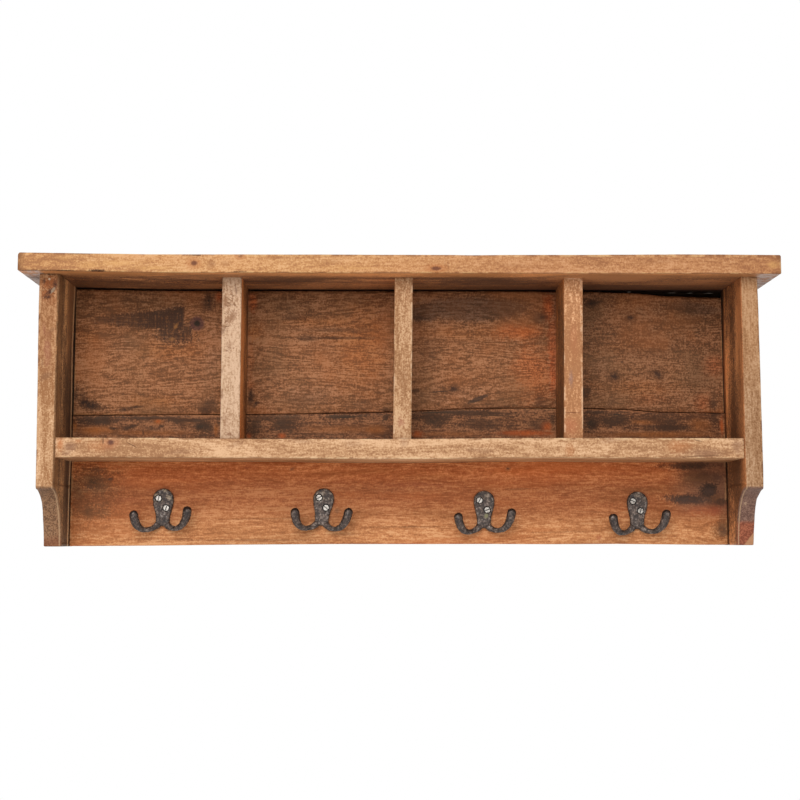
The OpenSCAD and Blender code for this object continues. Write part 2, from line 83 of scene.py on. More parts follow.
# Light that falls on each face of the boards, against which picked colours are measured, and the
# share of it that their warm oil throws back from its surface: red, green and blue
LIT_FRONT, LIT_TOP, LIT_PALE = (1.56, 1.56, 1.56), (1.64, 1.68, 1.84), (1.70, 1.76, 1.80)
LIT_RIGHT_DIVIDER, LIT_SHELF_UNDER = (1.20, 1.29, 1.33), (1.19, 1.22, 1.27)
LIT_BACK, LIT_RAIL, LIT_STRIP = (1.12, 1.08, 1.06), (1.24, 1.26, 1.30), (1.16, 1.22, 1.27)
LIT_UNDER, LIT_OVERHANG, LIT_DIVIDER = (0.385, 0.33, 0.30), (0.95, 0.95, 0.95), (0.41, 0.365, 0.38)
LIT_LEFT, LIT_RIGHT, LIT_BEECH = (0.37, 0.27, 0.24), (0.34, 0.31, 0.31), (1, 1, 1)
OIL_TINT, OIL_WHITE, DARKEST = (1.0, 0.72, 0.50, 1), 0.023, 0.002
OIL = [OIL_WHITE * share for share in OIL_TINT[:3]]

# The grain: places of the five colours on its ramp, how far it sways, how many bands and fine lines
# its figure makes, how far round a knot it bends and by what share, and the depth of its bump
GRAIN_SHARES = (0.27, 0.37, 0.50, 0.63, 0.73)
SWAY, BANDS, LINES, RIPPLE_DEEP = 0.034, 17.0, 74.0, 0.0004
KNOT_ACROSS, KNOT_UP, KNOT_PUSH = 3.4, 3.0, -0.75
# The scale of a field that is only moved, and the length, depth and width of scratches
SAME, SCRATCH = (1, 1, 1), (0.009, 1, 0.0016)
# Just before the wall, where the back boards' front marks end; the foot of the rail's rough strip,
# behind the shelf; and the near-black painted shade in the grooves and gaps between boards
REAR, STRIP_Z, GROOVE_SHADE = (-0.0006, -0.0020), -0.205, (30, 21, 17)


# Numbers over space

def rough(points, cell, seed):
    """Smooth random field from -1 to 1: hashed values on a cubic lattice of the given cell, each
    point taking the eased weighted mean of the eight lattice corners round it."""
    spot = np.asarray(points, float) / cell + 57.3
    base = np.floor(spot).astype(np.int64)
    share = spot - base
    share = share * share * (3 - 2 * share)
    total = np.zeros(spot.shape[:-1])
    for corner in itertools.product((0, 1), repeat=3):
        knot = base + corner
        key = (knot[..., 0] * 73856093) ^ (knot[..., 1] * 19349663) ^ (knot[..., 2] * 83492791)
        key = (key + seed * 7919) & 0x7FFFFFFF
        key = ((key >> 13) ^ key) * 60493 & 0x7FFFFFFF
        key = ((key >> 11) ^ key) * 19990303 & 0x7FFFFFFF
        weight = np.prod(np.where(np.array(corner) == 1, share, 1 - share), axis=-1)
        total += weight * ((key & 0xFFFF) / 32767.5 - 1)
    return total


def wave(along, cell, seed):
    """The same random field read along one line."""
    line = np.zeros(np.shape(along) + (3,))
    line[..., 0] = along
    return rough(line, cell, seed)


def ease(low, high, value):
    """0 below low, 1 above high, and a smooth S curve between them."""
    share = np.clip((value - low) / (high - low), 0, 1)
    return share * share * (3 - 2 * share)


def bow_at(across):
    """Rise of the top board at a place: none up to BOW_START, then even to BOW_RISE at its end."""
    return BOW_RISE * np.clip((-across - BOW_START) / (HALF_W - BOW_START), 0, 1)


def view_axes():
    """Right, up and forward directions of the camera: turned up by PITCH, then about Z by YAW."""
    right = np.array([math.cos(YAW), math.sin(YAW), 0])
    forward = np.array([
        -math.sin(YAW) * math.cos(PITCH), math.cos(YAW) * math.cos(PITCH), math.sin(PITCH)
    ])
    return right, np.cross(right, forward), forward


def from_picture(u, v, y):
    """Place (x, z) and length of one picture point on the upright plane at y: the ray through the
    picture point (u, v), carried from the eye to that plane."""
    right, up, forward = view_axes()
    ray = forward + (u - PICTURE / 2) / FOCUS * right + (PICTURE / 2 - v) / FOCUS * up
    reach = (y - EYE[1]) / ray[1]
    place = EYE + ray * reach
    return place[0], place[2], reach / FOCUS


# Meshes

def make_mesh(name, points, faces):
    """Mesh object from points and faces, turned so that its volume is positive."""
    first = np.array([face[0] for face in faces])
    second = np.array([face[1] for face in faces])
    third = np.array([face[2] for face in faces])
    quads = np.array([face for face in faces if len(face) == 4])
    volume = np.einsum(
        "ij,ij->i", points[first], np.cross(points[second], points[third])
    ).sum() + np.einsum(
        "ij,ij->i", points[quads[:, 0]], np.cross(points[quads[:, 2]], points[quads[:, 3]])
    ).sum()
    if volume < 0:
        faces = [face[::-1] for face in faces]
    mesh = bpy.data.meshes.new(name)
    mesh.from_pydata(points.tolist(), [], faces)
    mesh.polygons.foreach_set("use_smooth", np.ones(len(faces), bool))
    mesh.update()
    made = bpy.data.objects.new(name, mesh)
    bpy.context.scene.collection.objects.link(made)
    return made


def ring_faces(count, sides):
    """Four-sided faces between neighbouring rings of a stack, with a fan over each end, whose
    middle points are the last two points of the mesh."""
    i, j = np.meshgrid(np.arange(count - 1), np.arange(sides), indexing="ij")
    a, b = i * sides + j, i * sides + (j + 1) % sides
    walls = np.stack([a, b, b + sides, a + sides], -1).reshape(-1, 4)
    j = np.arange(sides)
    k, top = (j + 1) % sides, (count - 1) * sides
    low = np.stack([np.full(sides, count * sides), k, j], -1)
    high = np.stack([np.full(sides, count * sides + 1), top + j, top + k], -1)
    return walls.tolist() + low.tolist() + high.tolist()


def skin(name, rings):
    """Closed surface over a stack of rings (stations, points, 3), with a fan over each end."""
    ends = rings[[0, -1]].mean(axis=1)
    points = np.concatenate([rings.reshape(-1, 3), ends])
    return make_mesh(name, points, ring_faces(rings.shape[0], rings.shape[1]))


def end_stations(start, stop, ends, step=BOARD_STEP):
    """Places along a board: close together over its eased ends, as r(1 - sin t), then even."""
    first = start + ends[0] * (1 - np.sin(ARC[::-1]))
    last = stop - ends[1] * (1 - np.sin(ARC))
    count = max(2, int((stop - start) / step))
    return np.concatenate([first, np.linspace(first[-1], last[0], count)[1:-1], last])


def end_inset(places, start, stop, ends):
    """How far a section is drawn in near an eased end: r - sqrt(r^2 - (r - s)^2) at s from it."""
    inset = np.zeros_like(places)
    for edge, r in ((places - start, ends[0]), (stop - places, ends[1])):
        near = np.clip(r - edge, 0, r)
        inset = np.maximum(inset, r - np.sqrt(np.maximum(r * r - near * near, 0)))
    return inset


def eased_rings(low_a, high_a, low_b, high_b, round_a, round_b, bulge, counts):
    """Rings round rectangles with eased corners, and the outward direction at each point.
    Corner k is its centre + (round_a cos^n t, round_b sin^n t), anticlockwise from the low corner,
    where n = 1 is an ellipse and more hollows the corner out. The sides run straight between."""
    arcs, outs = [], []
    for k, (side_a, side_b) in enumerate(((-1, -1), (1, -1), (1, 1), (-1, 1))):
        turn = math.pi * (1 + k / 2) + ARC
        ra, rb = round_a[:, k:k + 1], round_b[:, k:k + 1]
        centre_a = (low_a[:, None] + ra) if side_a < 0 else (high_a[:, None] - ra)
        centre_b = (low_b[:, None] + rb) if side_b < 0 else (high_b[:, None] - rb)
        across, up = np.cos(turn), np.sin(turn)
        power = bulge[k]
        arcs.append(np.stack([
            centre_a + ra * np.sign(across) * np.abs(across) ** power,
            centre_b + rb * np.sign(up) * np.abs(up) ** power,
        ], -1))
        outs.append(np.broadcast_to(np.stack([across, up], -1), arcs[-1].shape))
    rings, ways = [], []
    for k in range(4):
        share = (np.arange(counts[k]) + 1)[None, :, None] / (counts[k] + 1)
        start, stop = arcs[k][:, -1:], arcs[(k + 1) % 4][:, :1]
        rings += [arcs[k], start + (stop - start) * share]
        ways += [outs[k], np.broadcast_to(outs[k][:, -1:], (len(low_a), counts[k], 2))]
    return np.concatenate(rings, 1), np.concatenate(ways, 1)


def worn(places, corners, seed, most):
    """Radius of each worn corner along a board: its size, eased up and down over a few
    centimetres, with short chips up to the length most where a finer random field is high."""
    radii = []
    for k, size in enumerate(corners):
        swell = 1 + 0.35 * wave(places, 0.031, seed + k)
        chip = np.clip(1.7 * wave(places, 0.011, seed + 10 + k) - 0.75, 0, 1)
        chip = chip + 0.5 * np.clip(1.7 * wave(places, 0.005, seed + 20 + k) - 0.8, 0, 1)
        radii.append(size * swell + most * chip)
    return np.stack(radii, -1)


def board(name, along, places, edges, corners, ends, seed, counts, wear, relief,
          across=(), up=(), bulge=(1, 1, 1, 1), low_inset=1.0):
    """A solid board: rectangles with worn corners carried along X or Z, drawn in over its eased
    ends, with a shallow random hollowing of all its faces. edges are the low and high bounds of
    the section across and up, each a number or an array over the places. corners are the radii of
    its four arrises, and ends how far the two ends are eased, across and then up. across and up
    list arrises whose radius in that direction is another one."""
    low_a, high_a, low_b, high_b = (np.broadcast_to(e, places.shape).astype(float) for e in edges)
    round_a = worn(places, corners, seed, wear)
    round_b = round_a.copy()
    for radii, changed in ((round_a, across), (round_b, up)):
        for k, radius in changed:
            radii[:, k] = radius
    start, stop = places.min(), places.max()
    inset_a = end_inset(places, start, stop, (ends[0], ends[1]))
    inset_b = end_inset(places, start, stop, (ends[2], ends[3]))
    low_a, high_a = low_a + inset_a, high_a - inset_a
    low_b, high_b = low_b + inset_b * low_inset, high_b - inset_b
    flat, out = eased_rings(low_a, high_a, low_b, high_b, round_a, round_b, bulge, counts)
    length = np.broadcast_to(places[:, None], flat.shape[:2])
    order = (lambda t, a, b: np.stack([t, a, b], -1)) if along == "x" else (
        lambda t, a, b: np.stack([a, b, t], -1))
    rings = order(length, flat[..., 0], flat[..., 1])
    outward = order(np.zeros(flat.shape[:2]), out[..., 0], out[..., 1])
    stretch = np.array([0.25, 1, 1]) if along == "x" else np.array([1, 1, 0.25])
    hollow = 0.5 + 0.35 * rough(rings * stretch, 0.016, seed) + 0.15 * rough(rings, 0.005, seed + 1)
    rings = rings - outward * (relief * hollow)[..., None]
    return skin(name, rings)


def rack_board(piece, node, material):
    """Takes a board's place in the rack: its solid is hidden and the piece rides the rack."""
    piece.data.materials.append(material)
    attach(piece, "root")
    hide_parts(node)
    return piece


# Finishes

def tone(red, green, blue, lit=None):
    """A colour as picked from a picture, 0 to 255, turned into linear light. With lit, the light
    that falls on the picked place and the white of its oil are taken out again."""
    shares = [value / 255 for value in (red, green, blue)]
    linear = [s / 12.92 if s <= 0.04045 else ((s + 0.055) / 1.055) ** 2.4 for s in shares]
    if lit:
        linear = [max(s / light - oil, DARKEST) for s, light, oil in zip(linear, lit, OIL)]
    return tuple(linear) + (1,)


class Field:
    """A number or vector that varies over a surface. Arithmetic on it adds Math nodes."""

    def __init__(self, finish, socket):
        self.finish, self.socket = finish, socket

    def math(self, operation, *others):
        return self.finish.field(
            "ShaderNodeMath", dict(enumerate((self,) + others)), operation=operation)

    def __add__(self, other):
        return self.math("ADD", other)

    def __sub__(self, other):
        return self.math("SUBTRACT", other)

    def __mul__(self, other):
        return self.math("MULTIPLY", other)

    def __rsub__(self, other):
        return (self * -1) + other

    def __neg__(self):
        return self * -1

    __radd__, __rmul__ = __add__, __mul__

    def above(self, other):
        return self.math("MAXIMUM", other)

    def below(self, other):
        return self.math("MINIMUM", other)

    def fade(self, low, high):
        """0 at low, 1 at high, smooth between, whichever of them is greater."""
        return self.finish.field(
            "ShaderNodeMapRange", {"Value": self, "From Min": low, "From Max": high}, "Result",
            interpolation_type="SMOOTHSTEP")


class Finish:
    """One procedural material in object coordinates, with the fields that drive it."""

    def __init__(self, name):
        self.material = bpy.data.materials.new(name)
        self.material.use_nodes = True
        self.tree = self.material.node_tree
        self.tree.nodes.clear()
        self.shader = self.node("ShaderNodeBsdfPrincipled")
        self.node("ShaderNodeOutputMaterial", {"Surface": self.shader.outputs[0]})
        self.place = self.field("ShaderNodeTexCoord", {}, "Object")
        parts = self.node("ShaderNodeSeparateXYZ", {0: self.place})
        self.x, self.y, self.z = (Field(self, parts.outputs[k]) for k in range(3))
        self.spot = self.field("ShaderNodeCombineXYZ", dict(enumerate((self.x, self.y, self.z))))

    def node(self, kind, inputs=None, stops=None, **settings):
        """Adds one node: its settings and the stops of its ramp first, then its inputs."""
        made = self.tree.nodes.new(kind)
        for setting, value in settings.items():
            setattr(made, setting, value)
        if stops:
            ramp = made.color_ramp.elements
            while len(ramp) < len(stops):
                ramp.new(1)
            for element, (place, colour) in zip(ramp, stops):
                element.position, element.color = place, colour
        self.feed(made, inputs or {})
        return made

    def feed(self, made, inputs):
        """Links fields and sockets into a node's inputs, and sets plain values on them."""
        for socket, value in inputs.items():
            if isinstance(value, Field):
                value = value.socket
            if isinstance(value, bpy.types.NodeSocket):
                self.tree.links.new(value, made.inputs[socket])
            else:
                made.inputs[socket].default_value = value

    def field(self, kind, inputs, output=0, **settings):
        """Adds one node and gives the field of one of its outputs."""
        return Field(self, self.node(kind, inputs, **settings).outputs[output])

    def scaled(self, vector, scale, shift=(0, 0, 0)):
        return self.field("ShaderNodeMapping", {"Vector": vector, "Scale": scale, "Location": shift})

    def noise(self, vector, scale=1.0, detail=2.0, roughness=0.5, distortion=0.0):
        return self.field("ShaderNodeTexNoise", {
            "Vector": vector, "Scale": scale, "Detail": detail, "Roughness": roughness,
            "Distortion": distortion,
        }, noise_dimensions="3D")

    def ramp(self, value, stops):
        return self.field("ShaderNodeValToRGB", {"Fac": value}, "Color", stops=stops)

    def mix(self, share, first, second, how="MIX"):
        return self.field("ShaderNodeMix", {0: share, 6: first, 7: second}, 2,
                          data_type="RGBA", blend_type=how)

    def shifted(self, vector, shift):
        return self.field("ShaderNodeVectorMath", {0: vector, 1: shift}, operation="ADD")

    def oval(self, x, z, half_x, half_z, turn=0, y=0.0, half_y=1.0):
        """Distance from the middle of an oval, 1 at its rim. Only a turned one takes a Mapping
        node, because Cycles has room for no more than some eighty of those in one material."""
        if turn:
            moved = self.field("ShaderNodeMapping", {
                "Vector": self.place, "Location": (x, y, z), "Rotation": (0, -math.radians(turn), 0),
                "Scale": (half_x, half_y, half_z),
            }, vector_type="TEXTURE")
        else:
            share = (1 / half_x, 1 / half_y, 1 / half_z)
            moved = self.field("ShaderNodeVectorMath", {
                0: self.spot, 1: share, 2: (-x * share[0], -y * share[1], -z * share[2]),
            }, operation="MULTIPLY_ADD")
        return self.field("ShaderNodeVectorMath", {0: moved}, "Value", operation="LENGTH")

    def dress(self, colour, roughness, height, deep, **rest):
        """Joins the fields to the shader. deep is the bump's depth in metres."""
        bump = self.node("ShaderNodeBump", {"Height": height, "Distance": deep, "Strength": 1.0})
        self.feed(self.shader, {
            "Base Color": colour, "Roughness": roughness, "Normal": bump.outputs[0], **rest})
        return self.material


class Wood(Finish):
    """Oiled old timber: bent growth bands, streaks, fibres and grit along the grain, patches of
    stain, knots and speckled marks, and arrises worn by hands."""

    def __init__(self, name, along, seed, face_y, lit):
        super().__init__(name)
        self.along, self.seed, self.face_y, self.lit = along, seed, face_y, lit
        self.bend = None
        self.drift = self.noise(self.scaled(self.place, SAME, (seed * 3.1, seed, seed * 1.7)),
                                26.0, 3.0, 0.6) - 0.5
        self.tooth = self.noise(self.place, 210.0, 3.0, 0.65) - 0.5
        self.grit = self.noise(self.scaled(self.place, SAME, (seed, 0, seed)), 480.0, 2.0, 0.6) - 0.5
        self.rag = self.drift + self.tooth * 0.8 + self.grit * 1.4

    def knots(self, *places):
        """Makes the grain fields, bent round the knots, and gives the distance from each knot."""
        rings = [self.knot(*place) for place in places]
        self.fibres()
        return rings

    def knot(self, u, v, half_u, half_v, turn=0):
        """Bends the grain round a knot: streaks part above and below it."""
        x, z, point = from_picture(u, v, self.face_y)
        reach = self.oval(x, z, KNOT_ACROSS * half_u * point, KNOT_UP * half_v * point, turn)
        near = 1 - reach.fade(0.0, 1.0)
        off = (self.z - z) if self.along == "x" else (self.x - x)
        push = off * near * KNOT_PUSH
        self.bend = push if self.bend is None else self.bend + push
        return self.oval(x, z, half_u * point, half_v * point, turn)

    def blot(self, u, v, half_u, half_v, turn=0, soft=0.6, rag=None, deep=1.0, grow=1.0):
        """1 inside a ragged oval at a picture point, fading over the soft share of its radius to 0
        at its rim. It reaches deep metres into the board, and grow widens it."""
        x, z, point = from_picture(u, v, self.face_y)
        point *= grow
        reach = self.oval(x, z, half_u * point, half_v * point, turn, self.face_y, deep)
        return (reach + (self.rag if rag is None else self.rag * rag)).fade(1.0, 1.0 - soft)

    def blots(self, places, speckle=1.8, **shape):
        """1 inside several speckled blots: picture point, half width, half height, strength and,
        where a blot isn't level, its turn in degrees."""
        total = None
        for u, v, half_u, half_v, strength, *turn in places:
            mask = self.blot(u, v, half_u, half_v, *turn, **shape) * strength
            total = mask if total is None else total.above(mask)
        return (total * (1 + self.grit * speckle + self.tooth * speckle)).above(0).below(1)

    def scratches(self, turn):
        """1 in short parallel scratches, turned by degrees from the level."""
        turned = self.field("ShaderNodeMapping", {
            "Vector": self.place, "Rotation": (0, -math.radians(turn), 0), "Scale": SCRATCH,
        }, vector_type="TEXTURE")
        return self.noise(turned, 1.0, 2.0, 0.6).fade(0.50, 0.62)

    def fibres(self):
        """The grain fields, read along the board in coordinates that knots and drift bend."""
        seed = self.seed
        sway = self.noise(self.scaled(self.place, (2.1, 5, 5) if self.along == "x" else (5, 5, 2.1),
                                      (seed, 2 * seed, 0)), 1.0, 2.0) - 0.5
        lift = sway * SWAY
        if self.bend is not None:
            lift = lift + self.bend
        shift = {2: lift, 1: lift * 0.5} if self.along == "x" else {0: lift, 1: lift * 0.5}
        bent = self.shifted(self.place, self.field("ShaderNodeCombineXYZ", shift))

        def grain(length, width, *detail):
            scale = (length, width, width) if self.along == "x" else (width, width, length)
            return self.noise(self.scaled(bent, scale, (seed * 5.3, seed * 2.9, seed * 7.7)),
                              1.0, *detail)

        self.figure = grain(1.7, 13, 2.0, 0.5, 0.3)
        self.bands = (self.figure * BANDS).math("PINGPONG", 1.0)
        self.lines = (self.figure * LINES + self.streak_bend()).math("PINGPONG", 1.0)
        self.streak = grain(8, 140, 4.0, 0.62)
        self.fibre = grain(75, 430, 3.0, 0.65)
        self.pore = grain(130, 900, 1.0, 0.5)
        self.patch = self.noise(
            self.scaled(bent, (4, 11, 11) if self.along == "x" else (11, 11, 4),
                        (seed * 1.3, 0, seed * 2.3)), 1.0, 3.0, 0.55)
        self.blotch = self.noise(self.scaled(self.place, SAME, (seed, seed, 0)), 60.0, 4.0, 0.66)

    def streak_bend(self):
        """Small waves that keep the fine growth lines from running dead straight."""
        return self.drift * 3.0 + self.tooth * 1.2

    def shade(self, bands, streak, fibre, grit, patch, blotch, pore, lines):
        """One number for light and dark grain, about a middle of 0.5: the sum of the grain fields
        by the weight of each, less that of the pores."""
        dashes = self.pore.fade(0.58, 0.72)
        return (0.5 + (self.bands - 0.5) * bands + (self.lines - 0.5) * lines
                + (self.streak - 0.5) * streak + (self.fibre - 0.5) * fibre
                + (self.patch - 0.5) * patch + (self.blotch - 0.5) * blotch
                + self.grit * grit - dashes * pore)

    def fore(self, deep, flush, ragged=0.0):
        """1 from flush metres behind the front face forwards, 0 from deep metres behind it, or the
        other way round where flush is the greater."""
        y = self.y + self.tooth * ragged if ragged else self.y
        return y.fade(self.face_y + deep, self.face_y + flush)

    def rim(self, box, width, height=None):
        """1 on the arrises of a box and 0 a width away: the second smallest of the distances to
        its three nearest faces, uneven along the arris. height stands in for z on a bowed board."""
        a, b, c = [(value - least).below(most - value)
                   for value, least, most in zip((self.x, self.y, height or self.z), *box)]
        second = a.below(b).above(a.above(b).below(c))
        uneven = second + self.drift * (0.9 * width) + self.tooth * (1.2 * width)
        return uneven.fade(width, 0.1 * width)

    def finish_board(self, colour, gloss, height=None):
        """Joins the colour to grain that also roughens the surface."""
        ripple = self.streak * 0.45 + self.fibre * 0.4 + self.grit * 0.35
        if height is not None:
            ripple = ripple + height
        sheen = (self.fibre - 0.5) * 0.25 + (self.blotch - 0.5) * 0.25 + gloss
        return self.dress(colour, sheen.above(0.3), ripple, RIPPLE_DEEP,
                          **{"Specular IOR Level": 0.35, "Specular Tint": OIL_TINT})


class Face(Field):
    """The colour of one face of a board, built up tint over tint. Tints of three numbers are picked
    from the photograph, and the light that falls on the face is taken out of them again."""

    def __init__(self, wood, grain, colours, lit=None):
        """Starts with colours from the darkest grain to the lightest: 2, 12, 50, 88 and 98 parts
        in 100 of the board are darker than each."""
        self.lit = lit or wood.lit
        super().__init__(wood, wood.ramp(grain, [
            (place, tone(*colour, lit=self.lit)) for place, colour in zip(GRAIN_SHARES, colours)
        ]).socket)

    def lay(self, share, picked):
        """Lays a tint over the face by a share, or another face or ready colour as it is."""
        if not isinstance(picked, Field) and len(picked) == 3:
            picked = tone(*picked, lit=self.lit)
        self.socket = self.finish.mix(share, self, picked).socket

    def scale(self, share, *factors):
        """Makes red, green and blue lighter or darker by factors."""
        self.socket = self.finish.mix(share, self, factors + (1,), "MULTIPLY").socket

    def mottle(self, mask, field, *layers):
        """Lays tints within a mask where a field passes from the low to the high of each layer."""
        for low, high, strength, picked in layers:
            self.lay(mask * field.fade(low, high) * strength, picked)

    def stain(self, picked, places, **shape):
        """Lays one tint in several blots."""
        self.lay(self.finish.blots(places, **shape), picked)

    def tinge(self, factors, places, **shape):
        """Makes the face lighter or darker by factors in several blots."""
        self.scale(self.finish.blots(places, **shape), *factors)


# Colours of each board's grain as the photograph shows them, from the darkest to the lightest
TOP = ((180, 126, 88), (198, 142, 98), (212, 157, 108), (226, 173, 125), (235, 184, 138))
SIDE = ((146, 97, 63), (165, 117, 80), (182, 133, 94), (198, 150, 110), (212, 165, 126))
SHELF = ((170, 122, 86), (189, 141, 102), (206, 158, 116), (222, 175, 133), (236, 190, 148))
PALE_DIVIDER = ((175, 136, 104), (191, 152, 120), (207, 170, 137), (222, 186, 154), (235, 199, 167))
TAN_DIVIDER = ((158, 112, 77), (172, 125, 87), (188, 140, 101), (205, 160, 120), (222, 178, 137))
BACK = ((103, 65, 42), (119, 75, 48), (138, 88, 57), (155, 102, 69), (168, 115, 80))
STRIP = ((80, 51, 36), (95, 62, 44), (115, 76, 52), (137, 92, 64), (154, 106, 74))
RAIL = ((138, 77, 45), (149, 85, 52), (161, 95, 60), (174, 108, 68), (190, 124, 82))
RAIL_FOOT = ((158, 103, 66), (174, 115, 75), (191, 129, 84), (206, 146, 100), (218, 163, 117))
INSIDE = ((58, 35, 22), (76, 47, 30), (100, 62, 39), (126, 78, 47), (150, 94, 57))


def top_finish(box):
    """Top board: golden bare front with three knots, brown underside with painted light and shade,
    and a painted pale reflection of the white surroundings where it overhangs."""
    low, high = box
    wood = Wood("top_timber", "x", 3, low[1], LIT_TOP)
    flat = wood.z - (-wood.x - BOW_START).above(0) * (BOW_RISE / (HALF_W - BOW_START))
    level = (low, (high[0], high[1], TOP_Z))
    rings = wood.knots((194, 263, 4, 3.2), (436, 268.4, 6.5, 2.6), (240, 256, 3, 2))
    grain = wood.shade(0.14, 0.35, 0.95, 1.05, 1.5, 0.15, 0.06, 0.12)
    colour = Face(wood, grain, TOP)
    colour.scale(wood.x.fade(-0.16, 0.22) * 0.9, 0.85, 0.77, 0.81)
    colour.scale(wood.patch.fade(0.46, 0.66) * 0.5, 0.93, 0.80, 0.70)
    shown = wood.fore(0.024, 0.008)
    for ring, strength in zip(rings, (0.85, 0.85, 0.5)):
        strength = shown * strength
        halo = (ring + wood.drift * 1.2 + wood.tooth * 0.8).fade(2.6, 1.0) * 0.5
        colour.lay(halo * shown, (186, 112, 66))
        colour.lay((ring + wood.rag * 0.35).fade(1.1, 0.4) * strength, (112, 66, 56))
    colour.stain((158, 104, 72), [
        (212, 264, 9, 8, 0.7, 30), (225, 264, 12, 6, 0.4), (60, 259, 22, 3, 0.5), (448, 264, 1.0, 8, 0.7),
        (445, 264, 0.8, 8, 0.6), (600, 264, 14, 8, 0.3), (744, 258, 11, 4, 0.8), (330, 262, 20, 4, 0.25),
        (520, 266, 60, 3, 0.25, -4), (112, 259, 5, 1.5, 0.6, -20), (655, 262, 40, 3, 0.3, 4),
        (282, 258, 30, 2, 0.3, 3),
    ], soft=0.9, deep=0.03)
    colour.stain((232, 178, 118), [
        (64, 258, 12, 4, 0.4), (120, 263, 30, 4, 0.5), (150, 268, 26, 3, 0.5), (350, 268, 40, 3, 0.35),
        (773, 265, 8, 5, 0.6), (90, 265, 16, 4, 0.4),
    ], soft=0.9, deep=0.03)
    ends = wood.x.fade(low[0] + 0.014, low[0] + 0.001).above(wood.x.fade(high[0] - 0.014, high[0] - 0.001))
    colour.mottle(ends, wood.blotch, (0.34, 0.60, 0.7, (134, 92, 66)))
    colour.mottle(wood.rim(level, 0.0030, flat), wood.blotch, (0.54, 0.40, 0.55, (236, 196, 146)),
                  (0.47, 0.60, 0.7, (146, 98, 70)))
    colour.stain((84, 56, 44), [
        (62, 271, 14, 1.6, 1.0), (98, 270.6, 11, 1.5, 1.0), (40, 270.5, 20, 1.0, 0.7),
        (238, 271.4, 10, 0.9, 0.7), (477, 254.4, 11, 1.2, 0.8), (196, 255, 8, 1.2, 0.6),
        (467, 254.6, 4, 1.4, 0.8), (76, 253.8, 26, 0.9, 0.5),
    ], soft=0.6, deep=0.02)
    front = wood.fore(0.005, 0.0015, 0.0015)
    under = flat.fade(UNDER_Z + 0.0016, UNDER_Z + 0.0004) * (1 - front)
    below = Face(wood, grain * 1.2 - 0.1 + (wood.patch - 0.5) * 0.5, INSIDE, LIT_UNDER)
    # Painted light near the front edge of the underside, and painted shade deeper into the compartments
    below.lay(wood.fore(0.050, 0.006) * 0.6, (142, 88, 50))
    below.lay(wood.y.fade(-0.100, -0.040) * 0.6, (74, 46, 30))
    below.lay(wood.figure.fade(0.50, 0.58) * 0.5, (64, 42, 30))
    # Near-black painted shade where the underside meets the back boards
    below.lay(wood.y.fade(BACK_FACE - 0.006, BACK_FACE - 0.001) * 0.8, (26, 18, 14))
    # Painted reflection of the white surroundings, pale on the underside where it overhangs the side
    # panels
    painted_reflection = wood.x.fade(-SIDE_IN - 0.018, -SIDE_IN - 0.026)
    painted_reflection = painted_reflection.above(wood.x.fade(SIDE_IN + 0.018, SIDE_IN + 0.026))
    painted_reflection = painted_reflection * wood.blotch.fade(0.62, 0.40)
    below.lay(painted_reflection * 0.7, tone(168, 152, 144, LIT_OVERHANG))
    colour.lay(under, below)
    return wood.finish_board(colour, 0.58)


def side_finish(name, box, seed, inner, dim, band, pale, marks):
    """Side panels: bare front edge, dark stained inner face with painted shade at its front and back,
    brushed outer face, sawn hollow.
    inner is 1 where the inner face looks to the right and -1 to the left, and dim the light on it.
    band gives where a dark band on it begins and ends and its strength, pale is the strength of a
    light strip by the rail, and marks lays the panel's own marks."""
    low, _ = box
    wood = Wood(name, "z", seed, low[1], LIT_FRONT)
    wood.fibres()
    grain = wood.shade(0.10, 0.25, 0.80, 0.85, 1.1, 0.15, 0.06, 0)
    colour = Face(wood, grain, SIDE)
    face_x = SIDE_IN * -inner
    into = (wood.x - face_x) * inner + wood.tooth * 0.001
    faced = into.fade(-0.0024, -0.0010)
    arc = wood.oval(0, FEET_Z, 10.0, COVE_H, 0, low[1], COVE_D)
    hollow = (arc + wood.tooth * 0.04).fade(1.06, 1.015)
    marks(wood, colour, hollow)
    colour.mottle(wood.rim(box, 0.0026), wood.blotch, (0.54, 0.40, 0.5, (226, 184, 142)),
                  (0.47, 0.62, 0.75, (118, 76, 52)))
    inside = Face(wood, grain * 1.2 - 0.1 + (wood.patch - 0.5) * 0.4, INSIDE, dim)
    inside.lay(wood.y.fade(-0.092, -0.112) * 0.3, (146, 86, 48))
    *reach, strength = band
    banded = (wood.y + wood.drift * 0.02).fade(*reach[:2]) * wood.y.fade(*reach[2:])
    inside.lay(banded * strength, (44, 28, 20))
    strip = wood.y.fade(-0.039, -0.036) * wood.y.fade(-0.030, -0.033)
    inside.lay(strip * pale, (124, 86, 60))
    # Near-black painted shade in the narrow gap in front of the back boards
    inside.lay(wood.y.fade(-0.0325, -0.0305) * 0.92, (18, 12, 9))
    inside.lay(wood.patch.fade(0.5, 0.7) * 0.3, (140, 78, 44))
    # Painted shade towards the front edge, where more light falls, evening out the light on the face
    inside.scale(wood.y.fade(-0.078, -0.118), 0.50, 0.50, 0.52)
    inside.scale(wood.fore(0.005, 0.0015), 0.74, 0.72, 0.72)
    arris = into.fade(-0.0036, -0.0028) * into.fade(-0.0012, -0.0020) * hollow
    colour.lay(arris * 0.6, (206, 170, 132))
    colour.lay(faced * (1 - hollow * 0.9), inside)
    return wood.finish_board(colour, 0.60)


